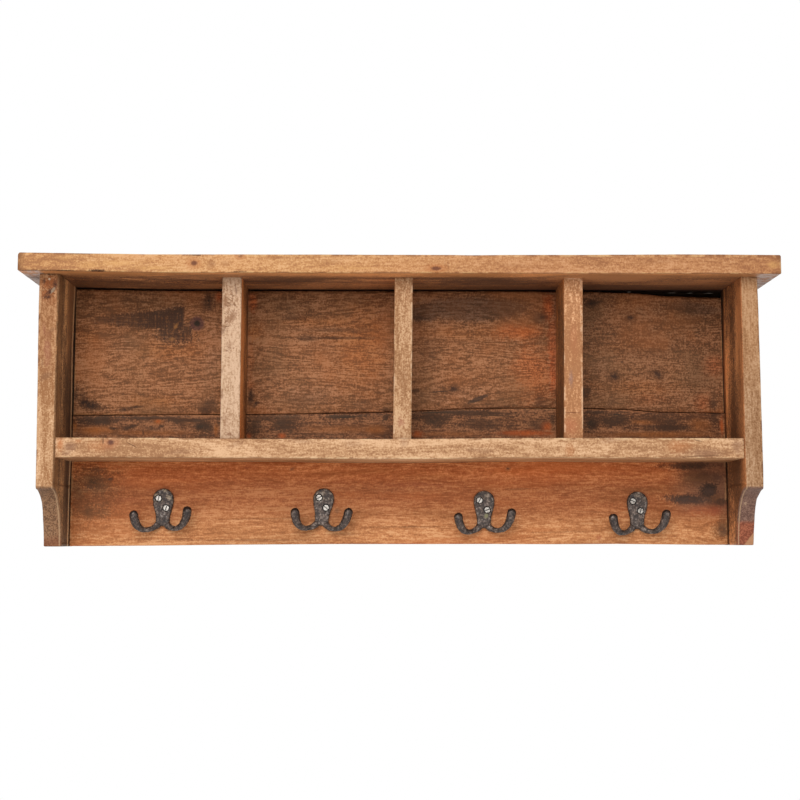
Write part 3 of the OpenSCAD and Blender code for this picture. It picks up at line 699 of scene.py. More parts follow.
def left_marks(wood, colour, hollow):
    """Rough rusty patch with a nail spot by the top, and a brown speckled hollow at the foot."""
    colour.scale(1.0, 1.14, 1.14, 1.15)
    colour.scale(wood.z.fade(-0.03, -0.15), 1.23, 1.41, 1.58)
    colour.stain((150, 84, 46), [
        (50, 283, 13, 10, 0.8), (48, 294, 11, 7, 0.75, 30), (52, 300, 8, 8, 0.4),
    ], soft=0.5, deep=0.02)
    colour.stain((74, 46, 34), [
        (51, 291, 11, 3.6, 0.95, 38), (44, 281, 3, 5, 0.7), (55, 284, 4, 8, 0.8),
        (47, 297, 7, 2.8, 0.8, 10), (49, 274.6, 9, 1.0, 0.8),
    ], soft=0.7, deep=0.02, speckle=3.5)
    slashed = wood.blot(50, 292, 11, 14, soft=0.6, deep=0.02) * wood.scratches(-38)
    colour.lay(slashed * 0.7, (96, 60, 42))
    colour.stain((214, 190, 160), [
        (49.3, 279, 1.6, 1.8, 0.9), (53, 290, 2, 5, 0.4, -30),
    ], soft=0.5, deep=0.02)
    colour.stain((166, 108, 84), [
        (47, 350, 6, 26, 0.7), (44, 330, 3, 12, 0.5),
    ], soft=0.95, deep=0.02, speckle=0.5)
    colour.stain((138, 98, 72), [
        (46, 376, 9, 5, 0.55, 25), (52, 330, 6, 3, 0.4, 30), (42, 362, 2, 8, 0.5),
    ], soft=0.95, deep=0.02, speckle=1.0)
    colour.lay(hollow * 0.75, (142, 104, 78))
    colour.mottle(hollow, wood.grit * 2.4 + wood.blotch, (0.48, 0.64, 0.70, (92, 64, 50)),
                  (0.40, 0.22, 0.35, (182, 144, 112)))
    colour.lay(hollow * wood.z.fade(FEET_Z + 0.018, FEET_Z + 0.005) * 0.55, (140, 84, 60))


def right_marks(wood, colour, hollow):
    """Plum-grey speckled hollow, mottled russet below, with a bare corner at the foot."""
    colour.scale(1.0, 0.89, 0.88, 0.84)
    colour.scale(wood.z.fade(-0.03, -0.15), 1.02, 1.12, 1.28)
    colour.lay(hollow * 0.8, (132, 102, 92))
    colour.mottle(hollow, wood.grit * 2.2 + wood.blotch, (0.48, 0.66, 0.6, (96, 70, 64)),
                  (0.40, 0.22, 0.4, (176, 140, 122)))
    russet = (wood.z + wood.tooth * 0.004).fade(FEET_Z + 0.036, FEET_Z + 0.029) * hollow
    colour.lay(russet * 0.85, (160, 92, 68))
    colour.mottle(russet, wood.grit * 2.0 + wood.blotch * 1.2, (0.56, 0.72, 0.6, (120, 66, 50)),
                  (0.54, 0.40, 0.5, (192, 116, 84)))
    corner = ((wood.x - 0.4665) * 1.3 + (FEET_Z + 0.010 - wood.z) + wood.tooth * 0.003).fade(-0.001, 0.002)
    colour.lay(corner * hollow * 0.85, (196, 146, 108))
    colour.stain((216, 180, 146), [
        (752, 503, 2.2, 2.5, 0.8), (744, 515, 0.9, 14, 0.6, 8),
    ], soft=0.6, deep=0.06)


def divider_finish(name, box, seed, lit, colours, marks, scratched=()):
    """Dividers: sanded front edge with vertical grain, stained and scratched in places, and dark
    reddish side faces with painted shade towards the back."""
    low, _ = box
    wood = Wood(name, "z", seed, low[1], lit)
    wood.fibres()
    grain = wood.shade(0.08, 0.3, 1.0, 1.2, 1.2, 0.20, 0.08, 0)
    colour = Face(wood, grain, colours)
    for picked, places in marks:
        colour.stain(picked, places, soft=0.8, deep=0.02)
    for turn, *place in scratched:
        cut = wood.blot(*place, soft=0.8, deep=0.02) * wood.scratches(turn)
        colour.lay(cut * 0.75, (128, 88, 62))
    colour.mottle(wood.rim(box, 0.0022), wood.blotch, (0.56, 0.40, 0.5, (238, 206, 172)),
                  (0.48, 0.62, 0.6, (140, 98, 70)))
    front = wood.fore(0.0024, 0.0010, 0.001)
    inside = Face(wood, grain, INSIDE, LIT_DIVIDER)
    inside.lay(wood.patch.fade(0.40, 0.60) * 0.55, (140, 78, 42))
    # Painted shade towards the back of the compartment
    inside.lay(wood.y.fade(-0.040, -0.028) * 0.3, (66, 42, 30))
    inside.lay(front, colour)
    return wood.finish_board(inside, 0.60)


def shelf_finish(box):
    """Shelf: pale tan front with curly figure, stained at both ends, a dark upper face inside the
    compartments with painted shade at its back, and an underside as light as the side panels."""
    low, _ = box
    wood = Wood("shelf_timber", "x", 11, low[1], LIT_FRONT)
    ring, = wood.knots((110.6, 442.5, 4.2, 3.2, 20))
    grain = wood.shade(0.30, 0.35, 1.0, 1.05, 0.8, 0.12, 0.08, 0.15)
    colour = Face(wood, grain, SHELF)
    colour.lay((ring + wood.drift * 1.5).fade(2.8, 1.0) * 0.5, (184, 118, 84))
    colour.lay((ring + wood.rag * 0.5).fade(1.1, 0.3) * 0.85, (92, 58, 56))
    colour.stain((150, 108, 84), [
        (70, 447, 10, 7, 0.75), (66, 453, 8, 4, 0.5), (107, 449, 5, 4, 0.3), (235, 444, 14, 6, 0.3, 20),
        (404, 442, 7, 8, 0.4), (352, 444, 14, 6, 0.25), (705, 453, 36, 7, 0.65), (737, 446, 9, 12, 0.6),
        (478, 450, 30, 4, 0.3, -4), (180, 452, 30, 4, 0.3, 5), (610, 441, 26, 3, 0.3, 6),
        (300, 441, 24, 3, 0.3, -5),
    ], soft=0.9, deep=0.03)
    colour.stain((196, 118, 68), [
        (60, 444, 5, 10, 0.7), (78, 441, 6, 3, 0.4), (570, 450, 7, 9, 0.35), (680, 447, 18, 9, 0.4),
        (98, 446, 16, 8, 0.3),
    ], soft=0.9, deep=0.03)
    colour.stain((104, 68, 50), [
        (103, 441, 0.8, 4.5, 0.85), (132, 445, 8, 0.7, 0.75, -28), (698, 440.5, 6, 0.8, 0.7, -15),
        (545, 458.6, 8, 1.0, 0.7, 3), (700, 456, 30, 1.2, 0.5, 2),
    ], soft=0.6, rag=0.5, deep=0.03)
    colour.mottle(wood.rim(box, 0.0028), wood.blotch, (0.55, 0.40, 0.6, (240, 204, 160)),
                  (0.47, 0.62, 0.65, (134, 90, 62)))
    front = wood.fore(0.0036, 0.0014, 0.001)
    under = wood.z.fade(low[2] + 0.004, low[2] + 0.002)
    inside = Face(wood, grain * 0.6 + 0.2, INSIDE, LIT_DIVIDER)
    inside.scale(1 - under, 0.72, 0.70, 0.74)
    inside.lay(under, Face(wood, grain, SIDE, LIT_SHELF_UNDER))
    # Painted shade in the corner where the shelf meets the back boards
    inside.lay(wood.y.fade(-0.034, -0.026) * 0.7, (44, 28, 20))
    inside.lay(front, colour)
    return wood.finish_board(inside, 0.58)


def back_finish(box):
    """Upper back board: brown stain over rough sawn grain, with the marks of each compartment."""
    low, _ = box
    wood = Wood("back_timber", "x", 7, low[1], LIT_BACK)
    eye, *others = wood.knots((197, 323.5, 8, 8), (614.5, 376.6, 5, 4, -20), (658, 374.5, 6, 4, -30),
                              (453.4, 389, 5, 4), (630.8, 317.6, 4, 3))
    weave = wood.noise(wood.scaled(wood.place, (480, 30, 60)), 1.0, 2.0, 0.6) - 0.5
    grain = wood.shade(0.10, 0.40, 1.45, 1.1, 0.4, 0.08, 0.10, 0.22)
    colour = Face(wood, grain + weave * 0.35 + wood.x.fade(0.16, 0.24) * wood.grit * 0.5, BACK)
    colour.scale(wood.x.fade(0.17, 0.24) * 0.9, 0.74, 0.74, 0.76)
    warm = wood.noise(wood.place, 9.0, 3.0, 0.6)
    colour.lay(warm.fade(0.5, 0.68) * 0.45, (160, 94, 54))
    colour.lay(warm.fade(0.5, 0.34) * 0.35, (112, 78, 52))
    colour.tinge((0.54, 0.64, 0.72), [
        (146, 302, 80, 14, 0.5), (290, 305, 46, 16, 0.55), (272, 372, 30, 26, 0.25),
        (588, 320, 14, 30, 0.3), (690, 316, 36, 24, 0.6, -6), (700, 372, 26, 34, 0.45),
    ], soft=0.95, speckle=0.5, grow=1.2)
    colour.tinge((0.48, 0.54, 0.70), [
        (470, 309, 74, 17, 0.95), (424, 314, 22, 11, 1.0), (690, 308, 38, 8, 0.6, -6),
    ], soft=0.45, speckle=0.6, rag=0.5)
    colour.tinge((1.22, 1.00, 0.62), [
        (170, 350, 40, 14, 0.5), (160, 402, 34, 8, 0.5), (85, 335, 18, 10, 0.4), (360, 345, 34, 48, 0.6),
        (330, 322, 60, 7, 0.5), (255, 330, 12, 12, 0.6), (470, 333, 60, 8, 0.4), (640, 388, 52, 12, 0.45),
        (620, 300, 26, 10, 0.35), (632, 345, 40, 10, 0.35),
    ], soft=0.95, speckle=0.7, grow=1.2)
    colour.tinge((1.12, 1.30, 1.65), [
        (455, 396, 50, 13, 0.45), (212, 360, 12, 44, 0.4), (300, 395, 46, 14, 0.35),
        (130, 345, 22, 12, 0.3), (600, 366, 16, 16, 0.3),
    ], soft=0.95, speckle=0.7, grow=1.2)
    colour.tinge((1.70, 0.98, 0.62), [
        (219, 297, 5, 8, 1.0), (253, 303, 5, 12, 0.9), (549, 306, 7, 18, 1.0), (553, 350, 6, 44, 0.7),
        (703, 402, 12, 12, 0.4), (714, 366, 14, 12, 0.45),
    ], soft=0.9, speckle=1.0, grow=1.2)
    colour.tinge((1.50, 1.06, 0.74), [
        (518, 333, 32, 10, 0.8), (534, 372, 26, 38, 0.85), (650, 400, 24, 8, 0.3), (250, 360, 5, 30, 0.4),
        (250, 384, 5, 8, 0.5),
    ], soft=0.95, speckle=0.8, grow=1.2)
    colour.stain((92, 62, 44), [
        (300, 400, 40, 8, 0.35), (430, 355, 14, 22, 0.3), (490, 404, 40, 5, 0.4),
        (611.8, 402, 5, 9, 0.7, -25), (360, 404, 20, 6, 0.4), (205, 406, 16, 7, 0.5),
        (330, 330, 50, 3, 0.55), (650, 350, 60, 24, 0.2), (714, 402, 6, 12, 0.8),
    ], soft=0.9, speckle=1.6, grow=1.2)
    # Dark stains; the long thin level blots along the seam, near v 407 to 414, are painted shade that
    # thickens its line
    colour.stain((58, 40, 32), [
        (208, 300.5, 7, 10, 0.85), (84, 403, 15, 8, 0.95, -20), (76, 396, 5, 12, 0.9),
        (90, 405, 18, 6, 1.0, -14), (126, 409, 9, 2.2, 0.8, 4), (386, 411, 6, 5, 0.6),
        (340, 413.6, 26, 1.8, 0.9, 1), (480, 407.6, 60, 1.0, 0.6, 1), (594, 409.8, 14, 1.4, 0.8),
        (587, 391, 4, 5, 0.7, -30), (250.8, 396, 3.5, 10, 0.85), (256, 404, 5, 2, 0.8, 50),
        (592, 303, 10, 5, 0.8, 10), (420, 318, 9, 4, 0.6), (330, 338, 48, 1.8, 0.6),
        (122, 410, 4, 2.5, 0.7), (136, 407, 9, 1.5, 0.7, 5), (206, 411, 6, 5, 0.6),
        (585, 392, 5, 6, 0.7, 40), (713, 405, 5, 8, 0.5), (540, 402, 6, 8, 0.5), (416, 391, 6, 4, 0.5),
        (290, 317, 18, 4, 0.4), (540, 318, 14, 6, 0.5), (210, 405, 8, 7, 0.5), (545, 410, 5, 7, 0.6),
        (350, 413.8, 36, 1.6, 0.8, 1), (622, 362, 1.6, 1.6, 0.7), (82, 398, 7, 10, 0.8),
        (209, 302, 8, 11, 0.8), (308, 338, 16, 4, 0.6),
    ], soft=0.8, speckle=2.2, grow=1.3)
    slash = wood.blot(478, 399, 14, 2.6, 22, soft=0.35, rag=0.25).above(
        wood.blot(441, 391.5, 12, 0.9, 4, soft=0.6, rag=0.5))
    colour.lay(slash * 0.85, (64, 48, 40))
    left, _, point = from_picture(90, 321, low[1])
    right, middle, _ = from_picture(184.5, 320.5, low[1])
    share = (wood.x - left + wood.grit * 0.006) * (1 / (right - left))
    width = share * (11.5 * point) + 2.0 * point
    rise = wood.z - middle - share * (0.8 * point)
    sawn = (rise.math("ABSOLUTE") - width + wood.rag * 0.012).fade(0.0025, -0.004)
    sawn = sawn * share.fade(-0.02, 0.12) * share.fade(1.01, 0.98)
    sawn = sawn * (0.62 + share.fade(0, 0.8) * 0.30)
    blob = wood.blot(172, 334, 26, 14, -14, soft=0.6, rag=1.5) * 0.9
    tail = wood.blot(187, 330, 9, 8, 40, soft=0.6) * 0.85
    hatch = (1 + wood.grit * 3.5 + weave * 3.0).above(0).below(1)
    colour.lay((sawn.above(blob).above(tail) * hatch).below(1), (60, 42, 35))
    colour.stain((168, 112, 62), [(176, 326, 2.5, 4.5, 0.6, -35), (172, 339, 5, 3, 0.4)], soft=0.8)
    colour.lay((eye + wood.rag * 0.25).fade(1.15, 0.62) * 0.78, (80, 50, 50))
    colour.lay((eye + wood.tooth * 0.2).fade(0.55, 0.22) * 0.95, (36, 26, 26))
    for ring in others:
        colour.lay((ring + wood.rag).fade(2.4, 1.0) * 0.35, (84, 54, 38))
        colour.lay((ring + wood.rag * 0.6).fade(1.2, 0.2) * 0.85, (56, 40, 34))
    colour.mottle(wood.rim(box, 0.0022), wood.blotch, (0.56, 0.42, 0.45, (172, 122, 80)))
    # Near-black painted shade in the seam groove, the rebate under the top board and the gaps at the side
    # panels
    groove = wood.fore(0.0007, 0.0015)
    ends = wood.x.math("ABSOLUTE").fade(SIDE_IN - 0.0017, SIDE_IN - 0.0011)
    colour.lay(groove.above(ends) * wood.y.fade(*REAR) * 0.95, GROOVE_SHADE)
    colour.stain(tone(186, 176, 166), [
        (631, 290.4, 3, 0.6, 0.8, 10), (600, 290.6, 2, 0.4, 0.5), (674, 291.2, 6, 0.4, 0.55, 2),
        (692, 291.4, 4, 0.4, 0.5), (711, 291.6, 7, 0.4, 0.55, 2),
    ], soft=0.8, rag=0.3)
    return wood.finish_board(colour, 0.62, weave * 0.5)


def rail_finish(box):
    """Hook rail: russet timber, golden towards its lower edge; its top strip, which shows above
    the shelf, is rougher and blacker."""
    low, _ = box
    wood = Wood("rail_timber", "x", 5, low[1], LIT_RAIL)
    _, *rings = wood.knots((110, 479, 3, 2.5), (722, 530, 8, 7), (508, 468.6, 2.4, 2))
    grain = wood.shade(0.14, 0.70, 1.2, 0.75, 0.45, 0.08, 0.08, 0.14)
    colour = Face(wood, grain, RAIL)
    colour.lay(wood.z.fade(low[2] + 0.062, low[2] + 0.016) * 0.85, Face(wood, grain, RAIL_FOOT))
    reds = wood.noise(wood.scaled(wood.place, (3, 8, 22)), 1.0, 3.0, 0.6)
    colour.lay(reds.fade(0.5, 0.66) * 0.35, (178, 96, 52))
    colour.lay(reds.fade(0.46, 0.34) * 0.3, (132, 84, 50))
    # Painted light on the front face just under the shelf, set against the shelf's shadow there
    colour.scale(wood.z.fade(-0.246, -0.214) * wood.y.fade(-0.004, -0.020), 1.6, 1.5, 1.4)
    colour.lay(wood.x.fade(0.36, 0.42) * wood.z.fade(-0.290, -0.262) * 0.7, (112, 84, 70))
    colour.stain((98, 66, 46), [
        (92, 482, 30, 24, 0.95), (88, 512, 26, 18, 0.8), (80, 500, 14, 46, 0.6), (697, 477, 32, 14, 0.8),
        (690, 466, 36, 6, 0.8), (715, 500, 14, 14, 0.7),
    ], soft=0.95)
    colour.tinge((0.72, 0.84, 0.96), [
        (92, 490, 44, 40, 0.9), (96, 530, 30, 10, 0.4),
    ], soft=0.9, speckle=0.8)
    colour.tinge((1.35, 0.98, 0.80), [
        (704, 509, 28, 9, 0.9, 6), (722, 506, 12, 8, 0.7),
    ], soft=0.9, speckle=1.4)
    colour.stain((58, 47, 42), [
        (709, 490, 13, 8, 0.95, 28), (687, 499, 22, 5.5, 0.95, -4), (722, 502, 7, 5, 0.6),
        (724, 524, 6, 16, 0.35), (688, 466, 28, 4.5, 0.6), (712, 476, 12, 6, 0.25),
    ], soft=0.6, speckle=1.6, grow=1.2)
    colour.stain((84, 64, 56), [
        (690, 500, 34, 6.5, 0.85, -3), (684, 501, 16, 6, 0.85), (710, 491, 10, 6, 0.75),
        (723, 531, 7, 8, 0.6), (110, 479, 3.5, 2, 0.8), (337, 511, 5, 5, 0.35),
        (508, 468.6, 2.4, 1.6, 0.8), (292, 469, 4, 2, 0.5, 30), (718, 478, 8, 8, 0.5),
        (90, 488, 9, 6, 0.4), (98, 470, 12, 3, 0.4),
    ], soft=0.8, speckle=3.0)
    colour.stain((150, 78, 54), [
        (716, 511, 11, 7, 0.6), (735, 500, 6, 10, 0.5), (247, 468, 5, 2, 0.7), (599, 538, 4, 4, 0.6),
        (130, 500, 22, 4, 0.3), (420, 485, 60, 4, 0.3),
    ], soft=0.9)
    colour.stain((112, 74, 50), [
        (404, 527, 56, 0.9, 0.7), (345, 534, 26, 2.5, 0.35), (520, 489, 20, 0.9, 0.5, 3),
        (250, 519, 60, 0.9, 0.4, 1), (600, 512, 50, 0.9, 0.4, -1), (560, 532, 40, 1.0, 0.4, 1),
        (240, 540, 120, 1.2, 0.5),
    ], soft=0.8, rag=1.2)
    strip = Face(wood, grain + wood.grit * 0.4, STRIP, LIT_STRIP)
    strip.stain((154, 92, 46), [
        (96, 430.5, 23, 5.5, 0.8), (158, 421.5, 6, 4.5, 0.7), (216, 429, 2.4, 8, 0.8),
        (75, 426, 2.4, 8, 0.7), (150, 433, 46, 3, 0.45), (374, 430, 13, 5, 0.65), (345, 429, 34, 5, 0.45),
        (450, 434, 36, 3, 0.4), (640, 422, 15, 3, 0.5), (700, 425, 12, 7, 0.4), (650, 434.5, 66, 3, 0.5),
    ], soft=0.9, speckle=1.8, grow=1.35)
    strip.stain((176, 86, 40), [
        (417, 434, 6, 5, 0.85), (547, 426.5, 6, 5, 0.85), (524, 433, 32, 3.2, 0.7),
        (722, 427, 2.4, 10, 0.8), (282, 436, 4, 3, 0.75), (249, 436, 3, 3, 0.8), (158, 421, 3, 3, 0.6),
    ], soft=0.9, speckle=1.6, grow=1.35)
    # Dark stains; the long thin level ones just under the seam are painted shade of its step
    strip.stain((64, 45, 35), [
        (95, 420.5, 26, 5, 0.95), (150, 418, 46, 2.2, 0.8), (113, 428.4, 5, 1.8, 0.85, -10),
        (130, 427.4, 8, 2, 0.9, 18), (143, 432, 1.0, 4, 0.7), (161, 426.4, 2.8, 2, 0.9),
        (190, 420.5, 28, 4, 0.75, -4), (203, 426, 12, 7.5, 0.95), (180, 422, 17, 3, 0.6, -15),
        (255, 427, 9, 14, 0.7), (283, 424, 14, 7.5, 0.85), (275, 418, 32, 3.2, 0.8),
        (290, 430, 4, 4, 0.6), (342, 416.6, 26, 2.4, 0.95, 2), (329, 423, 5, 0.8, 0.8, -52),
        (386, 417.5, 4, 2.2, 0.9, 40), (436, 418.5, 26, 9, 0.9), (470, 413, 62, 2.8, 0.85, -1),
        (495, 415.6, 40, 1.0, 0.8, -2), (480, 424, 34, 7, 0.5), (536, 424, 13, 7, 0.5),
        (553, 420, 3, 9, 0.6), (593, 423, 9, 8.5, 0.95), (614, 420, 22, 7.5, 0.85),
        (670, 427.4, 20, 3.2, 0.9), (671, 422, 7, 6.5, 0.75), (714, 416.5, 5, 8, 0.75),
        (596, 412.4, 14, 2.2, 0.8), (650, 418, 26, 4, 0.5),
    ], soft=0.7, speckle=1.6, grow=1.3)
    # Near-black thin lines of painted shade along the seam, and two small dark spots on the strip
    strip.stain((30, 21, 17), [
        (617, 414.4, 8, 1.0, 0.95), (346, 417.4, 20, 1.1, 0.9, 3), (200, 427, 6, 3, 0.5),
        (436, 412.4, 24, 0.9, 0.7), (591, 423, 4, 4, 0.5),
    ], soft=0.8, rag=0.5)
    colour.lay(wood.z.fade(STRIP_Z, STRIP_Z + 0.010), strip)
    for ring in rings:
        colour.lay((ring + wood.rag).fade(1.8, 0.6) * 0.45, (96, 68, 50))
    colour.mottle(wood.rim(box, 0.0026), wood.blotch, (0.56, 0.42, 0.4, (214, 160, 112)))
    # Near-black painted shade in the chipped seam groove and the gaps at the side panels
    groove = wood.fore(0.0007, 0.0015) * wood.z.fade(STRIP_Z + 0.005, STRIP_Z + 0.015)
    ends = wood.fore(0.0006, 0.0013) * wood.x.math("ABSOLUTE").fade(SIDE_IN - 0.003, SIDE_IN - 0.0015)
    colour.lay(groove.above(ends) * wood.y.fade(*REAR) * 0.95, GROOVE_SHADE)
    return wood.finish_board(colour, 0.55)


def iron_finish(name, seed, seats, tips, rough_head, olive):
    """Cast iron under old black oil: warm brown-black skin, grey where hands and coats have
    rubbed the high places, painted shade in the screw seats and over the tips, and dark iron with
    painted shade at the plate's edge.
    rough_head adds scale to the plate's head, and olive names the point of a fleck or is None."""
    iron = Finish(name)
    spot = iron.shifted(iron.place, (seed * 0.37, seed * 0.11, seed * 0.23))
    skin_field = iron.noise(spot, 150.0, 4.0, 0.6)
    sand = iron.noise(spot, 480.0, 3.0, 0.65)
    scale_field = iron.noise(spot, 300.0, 3.0, 0.62)
    colour = iron.ramp(skin_field * 0.45 + sand * 0.55, [
        (0.36, tone(26, 20, 18)), (0.46, tone(50, 41, 37)), (0.54, tone(76, 66, 60)),
        (0.64, tone(122, 110, 102)),
    ])
    rubbed = scale_field.fade(0.53, 0.66)
    # 0 on the plate, 1 on the foremost stretch of the arms
    front = iron.y.fade(BACK_FACE - 0.012, BACK_FACE - 0.024)
    arms = iron.mix(front, (0.96, 0.86, 0.80, 1), (0.80, 0.68, 0.62, 1))
    colour = iron.mix(1.0, colour, arms, "MULTIPLY")
    colour = iron.mix(rubbed * (0.35 - front * 0.15), colour, tone(146, 136, 128))
    head = iron.z.fade(-0.262, -0.252) * iron.y.fade(BACK_FACE - 0.003, BACK_FACE - 0.0045)
    scaly = head * skin_field.fade(0.48, 0.62) * (0.2 + rough_head * 0.85)
    colour = iron.mix(scaly, colour, tone(168, 150, 122))
    # Dark iron and painted shade where the plate's bevel meets the rail
    edge = iron.y.fade(BACK_FACE - 0.0046, BACK_FACE - 0.0030)
    colour = iron.mix(edge * 0.75, colour, tone(24, 18, 16))
    # Near-black painted shade in the countersunk screw seats
    for x, z in seats:
        colour = iron.mix(iron.oval(x, z, SEAT_R, SEAT_R).fade(1.12, 0.98) * 0.9, colour, tone(18, 14, 13))
    # Painted shade on top of each tip, where its end turns away from the light
    for x, z in tips:
        beyond = iron.oval(x, z - 0.0032, ARM_TIP_R, ARM_TIP_R).fade(0.86, 1.12)
        near = iron.oval(x, z + 0.002, 1.3 * ARM_TIP_R, 1.1 * ARM_TIP_R).fade(1.15, 0.95)
        colour = iron.mix(beyond * near * 0.85, colour, tone(22, 17, 16))
    if olive:
        x, z, point = from_picture(*olive, BACK_FACE - PLATE_T)
        fleck = (iron.oval(x, z, 2.6 * point, 3.4 * point) + (scale_field - 0.5) * 1.6).fade(1, 0.4)
        colour = iron.mix(fleck * 0.6, colour, tone(128, 124, 84))
    gloss = 0.56 - rubbed * 0.15 - front * 0.12 + (sand - 0.5) * 0.3
    return iron.dress(colour, gloss, scale_field * 0.5 + sand * 0.5, 0.0006,
                      Metallic=0.3, **{"Specular IOR Level": 0.5})


def metal_finish(name, bright, dull, scale, gloss, slot_y=None):
    """Plated steel: fine turning scratches, small dull stains of the given scale, and painted shade in
    the slots and round the sunk heads, which lie behind slot_y."""
    metal = Finish(name)
    stains = metal.noise(metal.place, scale, 4.0, 0.6)
    scratches = metal.noise(metal.scaled(metal.place, (900, 900, 4000)), 1.0, 2.0)
    colour = metal.ramp(stains, [(0.36, tone(*dull)), (0.60, tone(*bright))])
    # Painted shade in the screw slots and round the sunk flank of the head
    slot_shade = metal.y.fade(slot_y + 0.0002, slot_y + 0.0005) if slot_y else None
    if slot_shade:
        colour = metal.mix(slot_shade, colour, tone(20, 17, 15))
    return metal.dress(colour, (scratches - 0.5) * 0.3 + (stains - 0.5) * 0.3 + gloss,
                       scratches * 0.5 + stains * 0.5, 0.00008,
                       Metallic=(1 - slot_shade) * 0.85 if slot_shade else 0.85)


def dowel_finish():
    """Turned beech: pale, with short straight fibres."""
    wood = Wood("dowel_beech", "z", 21, 0.0, LIT_BEECH)
    wood.fibres()
    colour = Face(wood, wood.shade(0.12, 0.6, 0.7, 0.8, 0.5, 0.4, 0.14, 0), (
        (176, 138, 96), (194, 158, 114), (214, 180, 136), (228, 198, 156), (236, 210, 170)))
    return wood.finish_board(colour, 0.7)


# Boards

def top_board():
    """Top board: bowed up towards its left end and swollen upwards by up to two millimetres towards
    its right one, as the photograph shows it, with worn arrises and eased ends."""
    (low, high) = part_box("top_board")
    places = end_stations(low[0], high[0], (0.0035, 0.0035))
    bow = bow_at(places)
    front = low[1] + 0.0003 * (1 + wave(places, 0.10, 33))
    swell = 0.001 * np.interp(
        places,
        (-0.5, -0.458, -0.421, -0.348, -0.131, 0.02, 0.07, 0.091, 0.12, 0.2, 0.24, 0.28, 0.385, 0.496),
        (0.0, 0.25, 0.4, 0.6, 0.95, 0.8, 0.8, 0.4, 0.7, 1.05, 1.05, 1.7, 2.3, 1.6))
    top = np.minimum(TOP_Z + bow + swell - 0.00015 * (1 + wave(places, 0.05, 32)), high[2] - 0.0001)
    sag = 0.0006 * ease(-0.470, -0.490, places)
    return board(
        "top_board_worn", "x", places,
        (front, high[1], UNDER_Z + bow - sag + 0.0002 * ease(0.04, 0.5, np.abs(places)), top),
        (0.0014, 0.0010, 0.0012, 0.0016), (0.0022, 0.0012, 0.0035, 0.0022), 101, (26, 5, 26, 8),
        wear=0.0014, relief=0.00022, low_inset=0.3)


def side_board(name, node, seed, heights, lefts, rights, lift=0.0):
    """Side panel: its front edge follows the hollow of the foot, 50 sin a back and 75 cos a up,
    and then a small nose out to the straight edge. lefts and rights widen it by millimetres at
    the given heights."""
    (low, high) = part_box(node)
    foot_z = low[2] + lift
    first = math.asin(COVE_NOSE / COVE_D)
    turn = np.linspace(math.pi / 2, first, 34)
    back, up = COVE_D * np.sin(turn), COVE_H * np.cos(turn)
    nose = np.linspace(-math.pi / 2, 0, 9)[1:]
    nose_z = COVE_H * math.cos(first) + COVE_NOSE
    back = np.concatenate([back, COVE_NOSE * (1 - np.cos(nose))])
    up = np.concatenate([up, nose_z + COVE_NOSE * np.sin(nose)])
    keep = up > lift + 0.004
    foot = end_stations(foot_z, foot_z + 0.004, (0.002, 0.0), 0.001)
    rest = end_stations(low[2] + up[-1] + 0.003, high[2] + 0.0003, (0.0, 0.001))
    places = np.concatenate([foot, low[2] + up[keep], rest])
    height = places - low[2]
    recess = np.where(height < up[-1], np.interp(height, up, back), 0)
    bow = 0.0003 * (1 + wave(places, 0.08, seed))
    left = low[0] - 0.001 * np.interp(places, heights, lefts) + 0.0001
    right = high[0] + 0.001 * np.interp(places, heights, rights) - 0.0001
    return board(
        name, "z", places, (left, right, low[1] + recess + bow, high[1]),
        (0.0016, 0.0016, 0.0008, 0.0008), (0.0014, 0.0008, 0.0016, 0.0004), seed, (6, 26, 6, 26),
        wear=0.0012, relief=0.00026)


def shelf_plank():
    """Shelf: wavy by a millimetre along both front arrises, as the photograph shows them."""
    (low, high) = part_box("shelf_board")
    places = end_stations(low[0] - 0.0002, high[0] + 0.0002, (0.0008, 0.0008))
    across = np.array([-0.43, -0.33, -0.27, -0.19, -0.08, 0.02, 0.08, 0.15, 0.20, 0.27, 0.44])
    crest = np.array([1.1, 0.9, 0.3, -0.4, -0.6, -0.2, 0.3, 0.8, 1.1, 1.2, 0.9]) * 0.001
    belly = np.array([0.8, 0.8, 0.6, 0.4, -0.9, -1.3, -0.4, 0.8, 0.9, 0.2, 0.2]) * 0.001
    return board(
        "shelf_plank", "x", places,
        (low[1] + 0.0003 * (1 + wave(places, 0.07, 42)), high[1] + 0.0003,
         low[2] + np.interp(places, across, belly) + 0.0002 * wave(places, 0.03, 41),
         high[2] + np.interp(places, across, crest)),
        (0.0018, 0.0008, 0.0008, 0.0015), (0.0007, 0.0007, 0.0005, 0.0005), 111, (24, 5, 24, 6),
        wear=0.0014, relief=0.00026)


def divider_plank(name, node, seed, lean, wider):
    """Divider, its upper end lean metres further right than its foot, and wider than its solid by
    the two lengths, left and right."""
    (low, high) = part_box(node)
    places = end_stations(low[2] - 0.0008, high[2] + 0.0003, (0.0006, 0.0006))
    aside = lean * ((places - low[2]) / (high[2] - low[2]) - 0.5)
    front = low[1] + 0.0003 * (1 + wave(places, 0.05, seed))
    return board(
        name, "z", places,
        (low[0] - wider[0] + aside, high[0] + wider[1] + aside, front, high[1] + 0.0003),
        (0.0015, 0.0015, 0.0008, 0.0008), (0.0005, 0.0005, 0.0005, 0.0005), seed, (6, 18, 6, 18),
        wear=0.0012, relief=0.00026)


def seam_at(across):
    """Height of the seam between the two back boards, as the photograph shows it."""
    places = np.array([-0.45, -0.36, -0.20, -0.06, 0.02, 0.08, 0.15, 0.24, 0.31, 0.36, 0.45])
    rises = np.array([0.1797, 0.1803, 0.1812, 0.1832, 0.1858, 0.1888, 0.1900, 0.1900, 0.1886, 0.1850,
                      0.1835])
    return FEET_Z + np.interp(across, places, rises)


def back_stations():
    """Both back boards run just into the side panels, with their front arrises eased there."""
    return end_stations(-SIDE_IN - 0.0003, SIDE_IN + 0.0003, (0.0014, 0.0014))


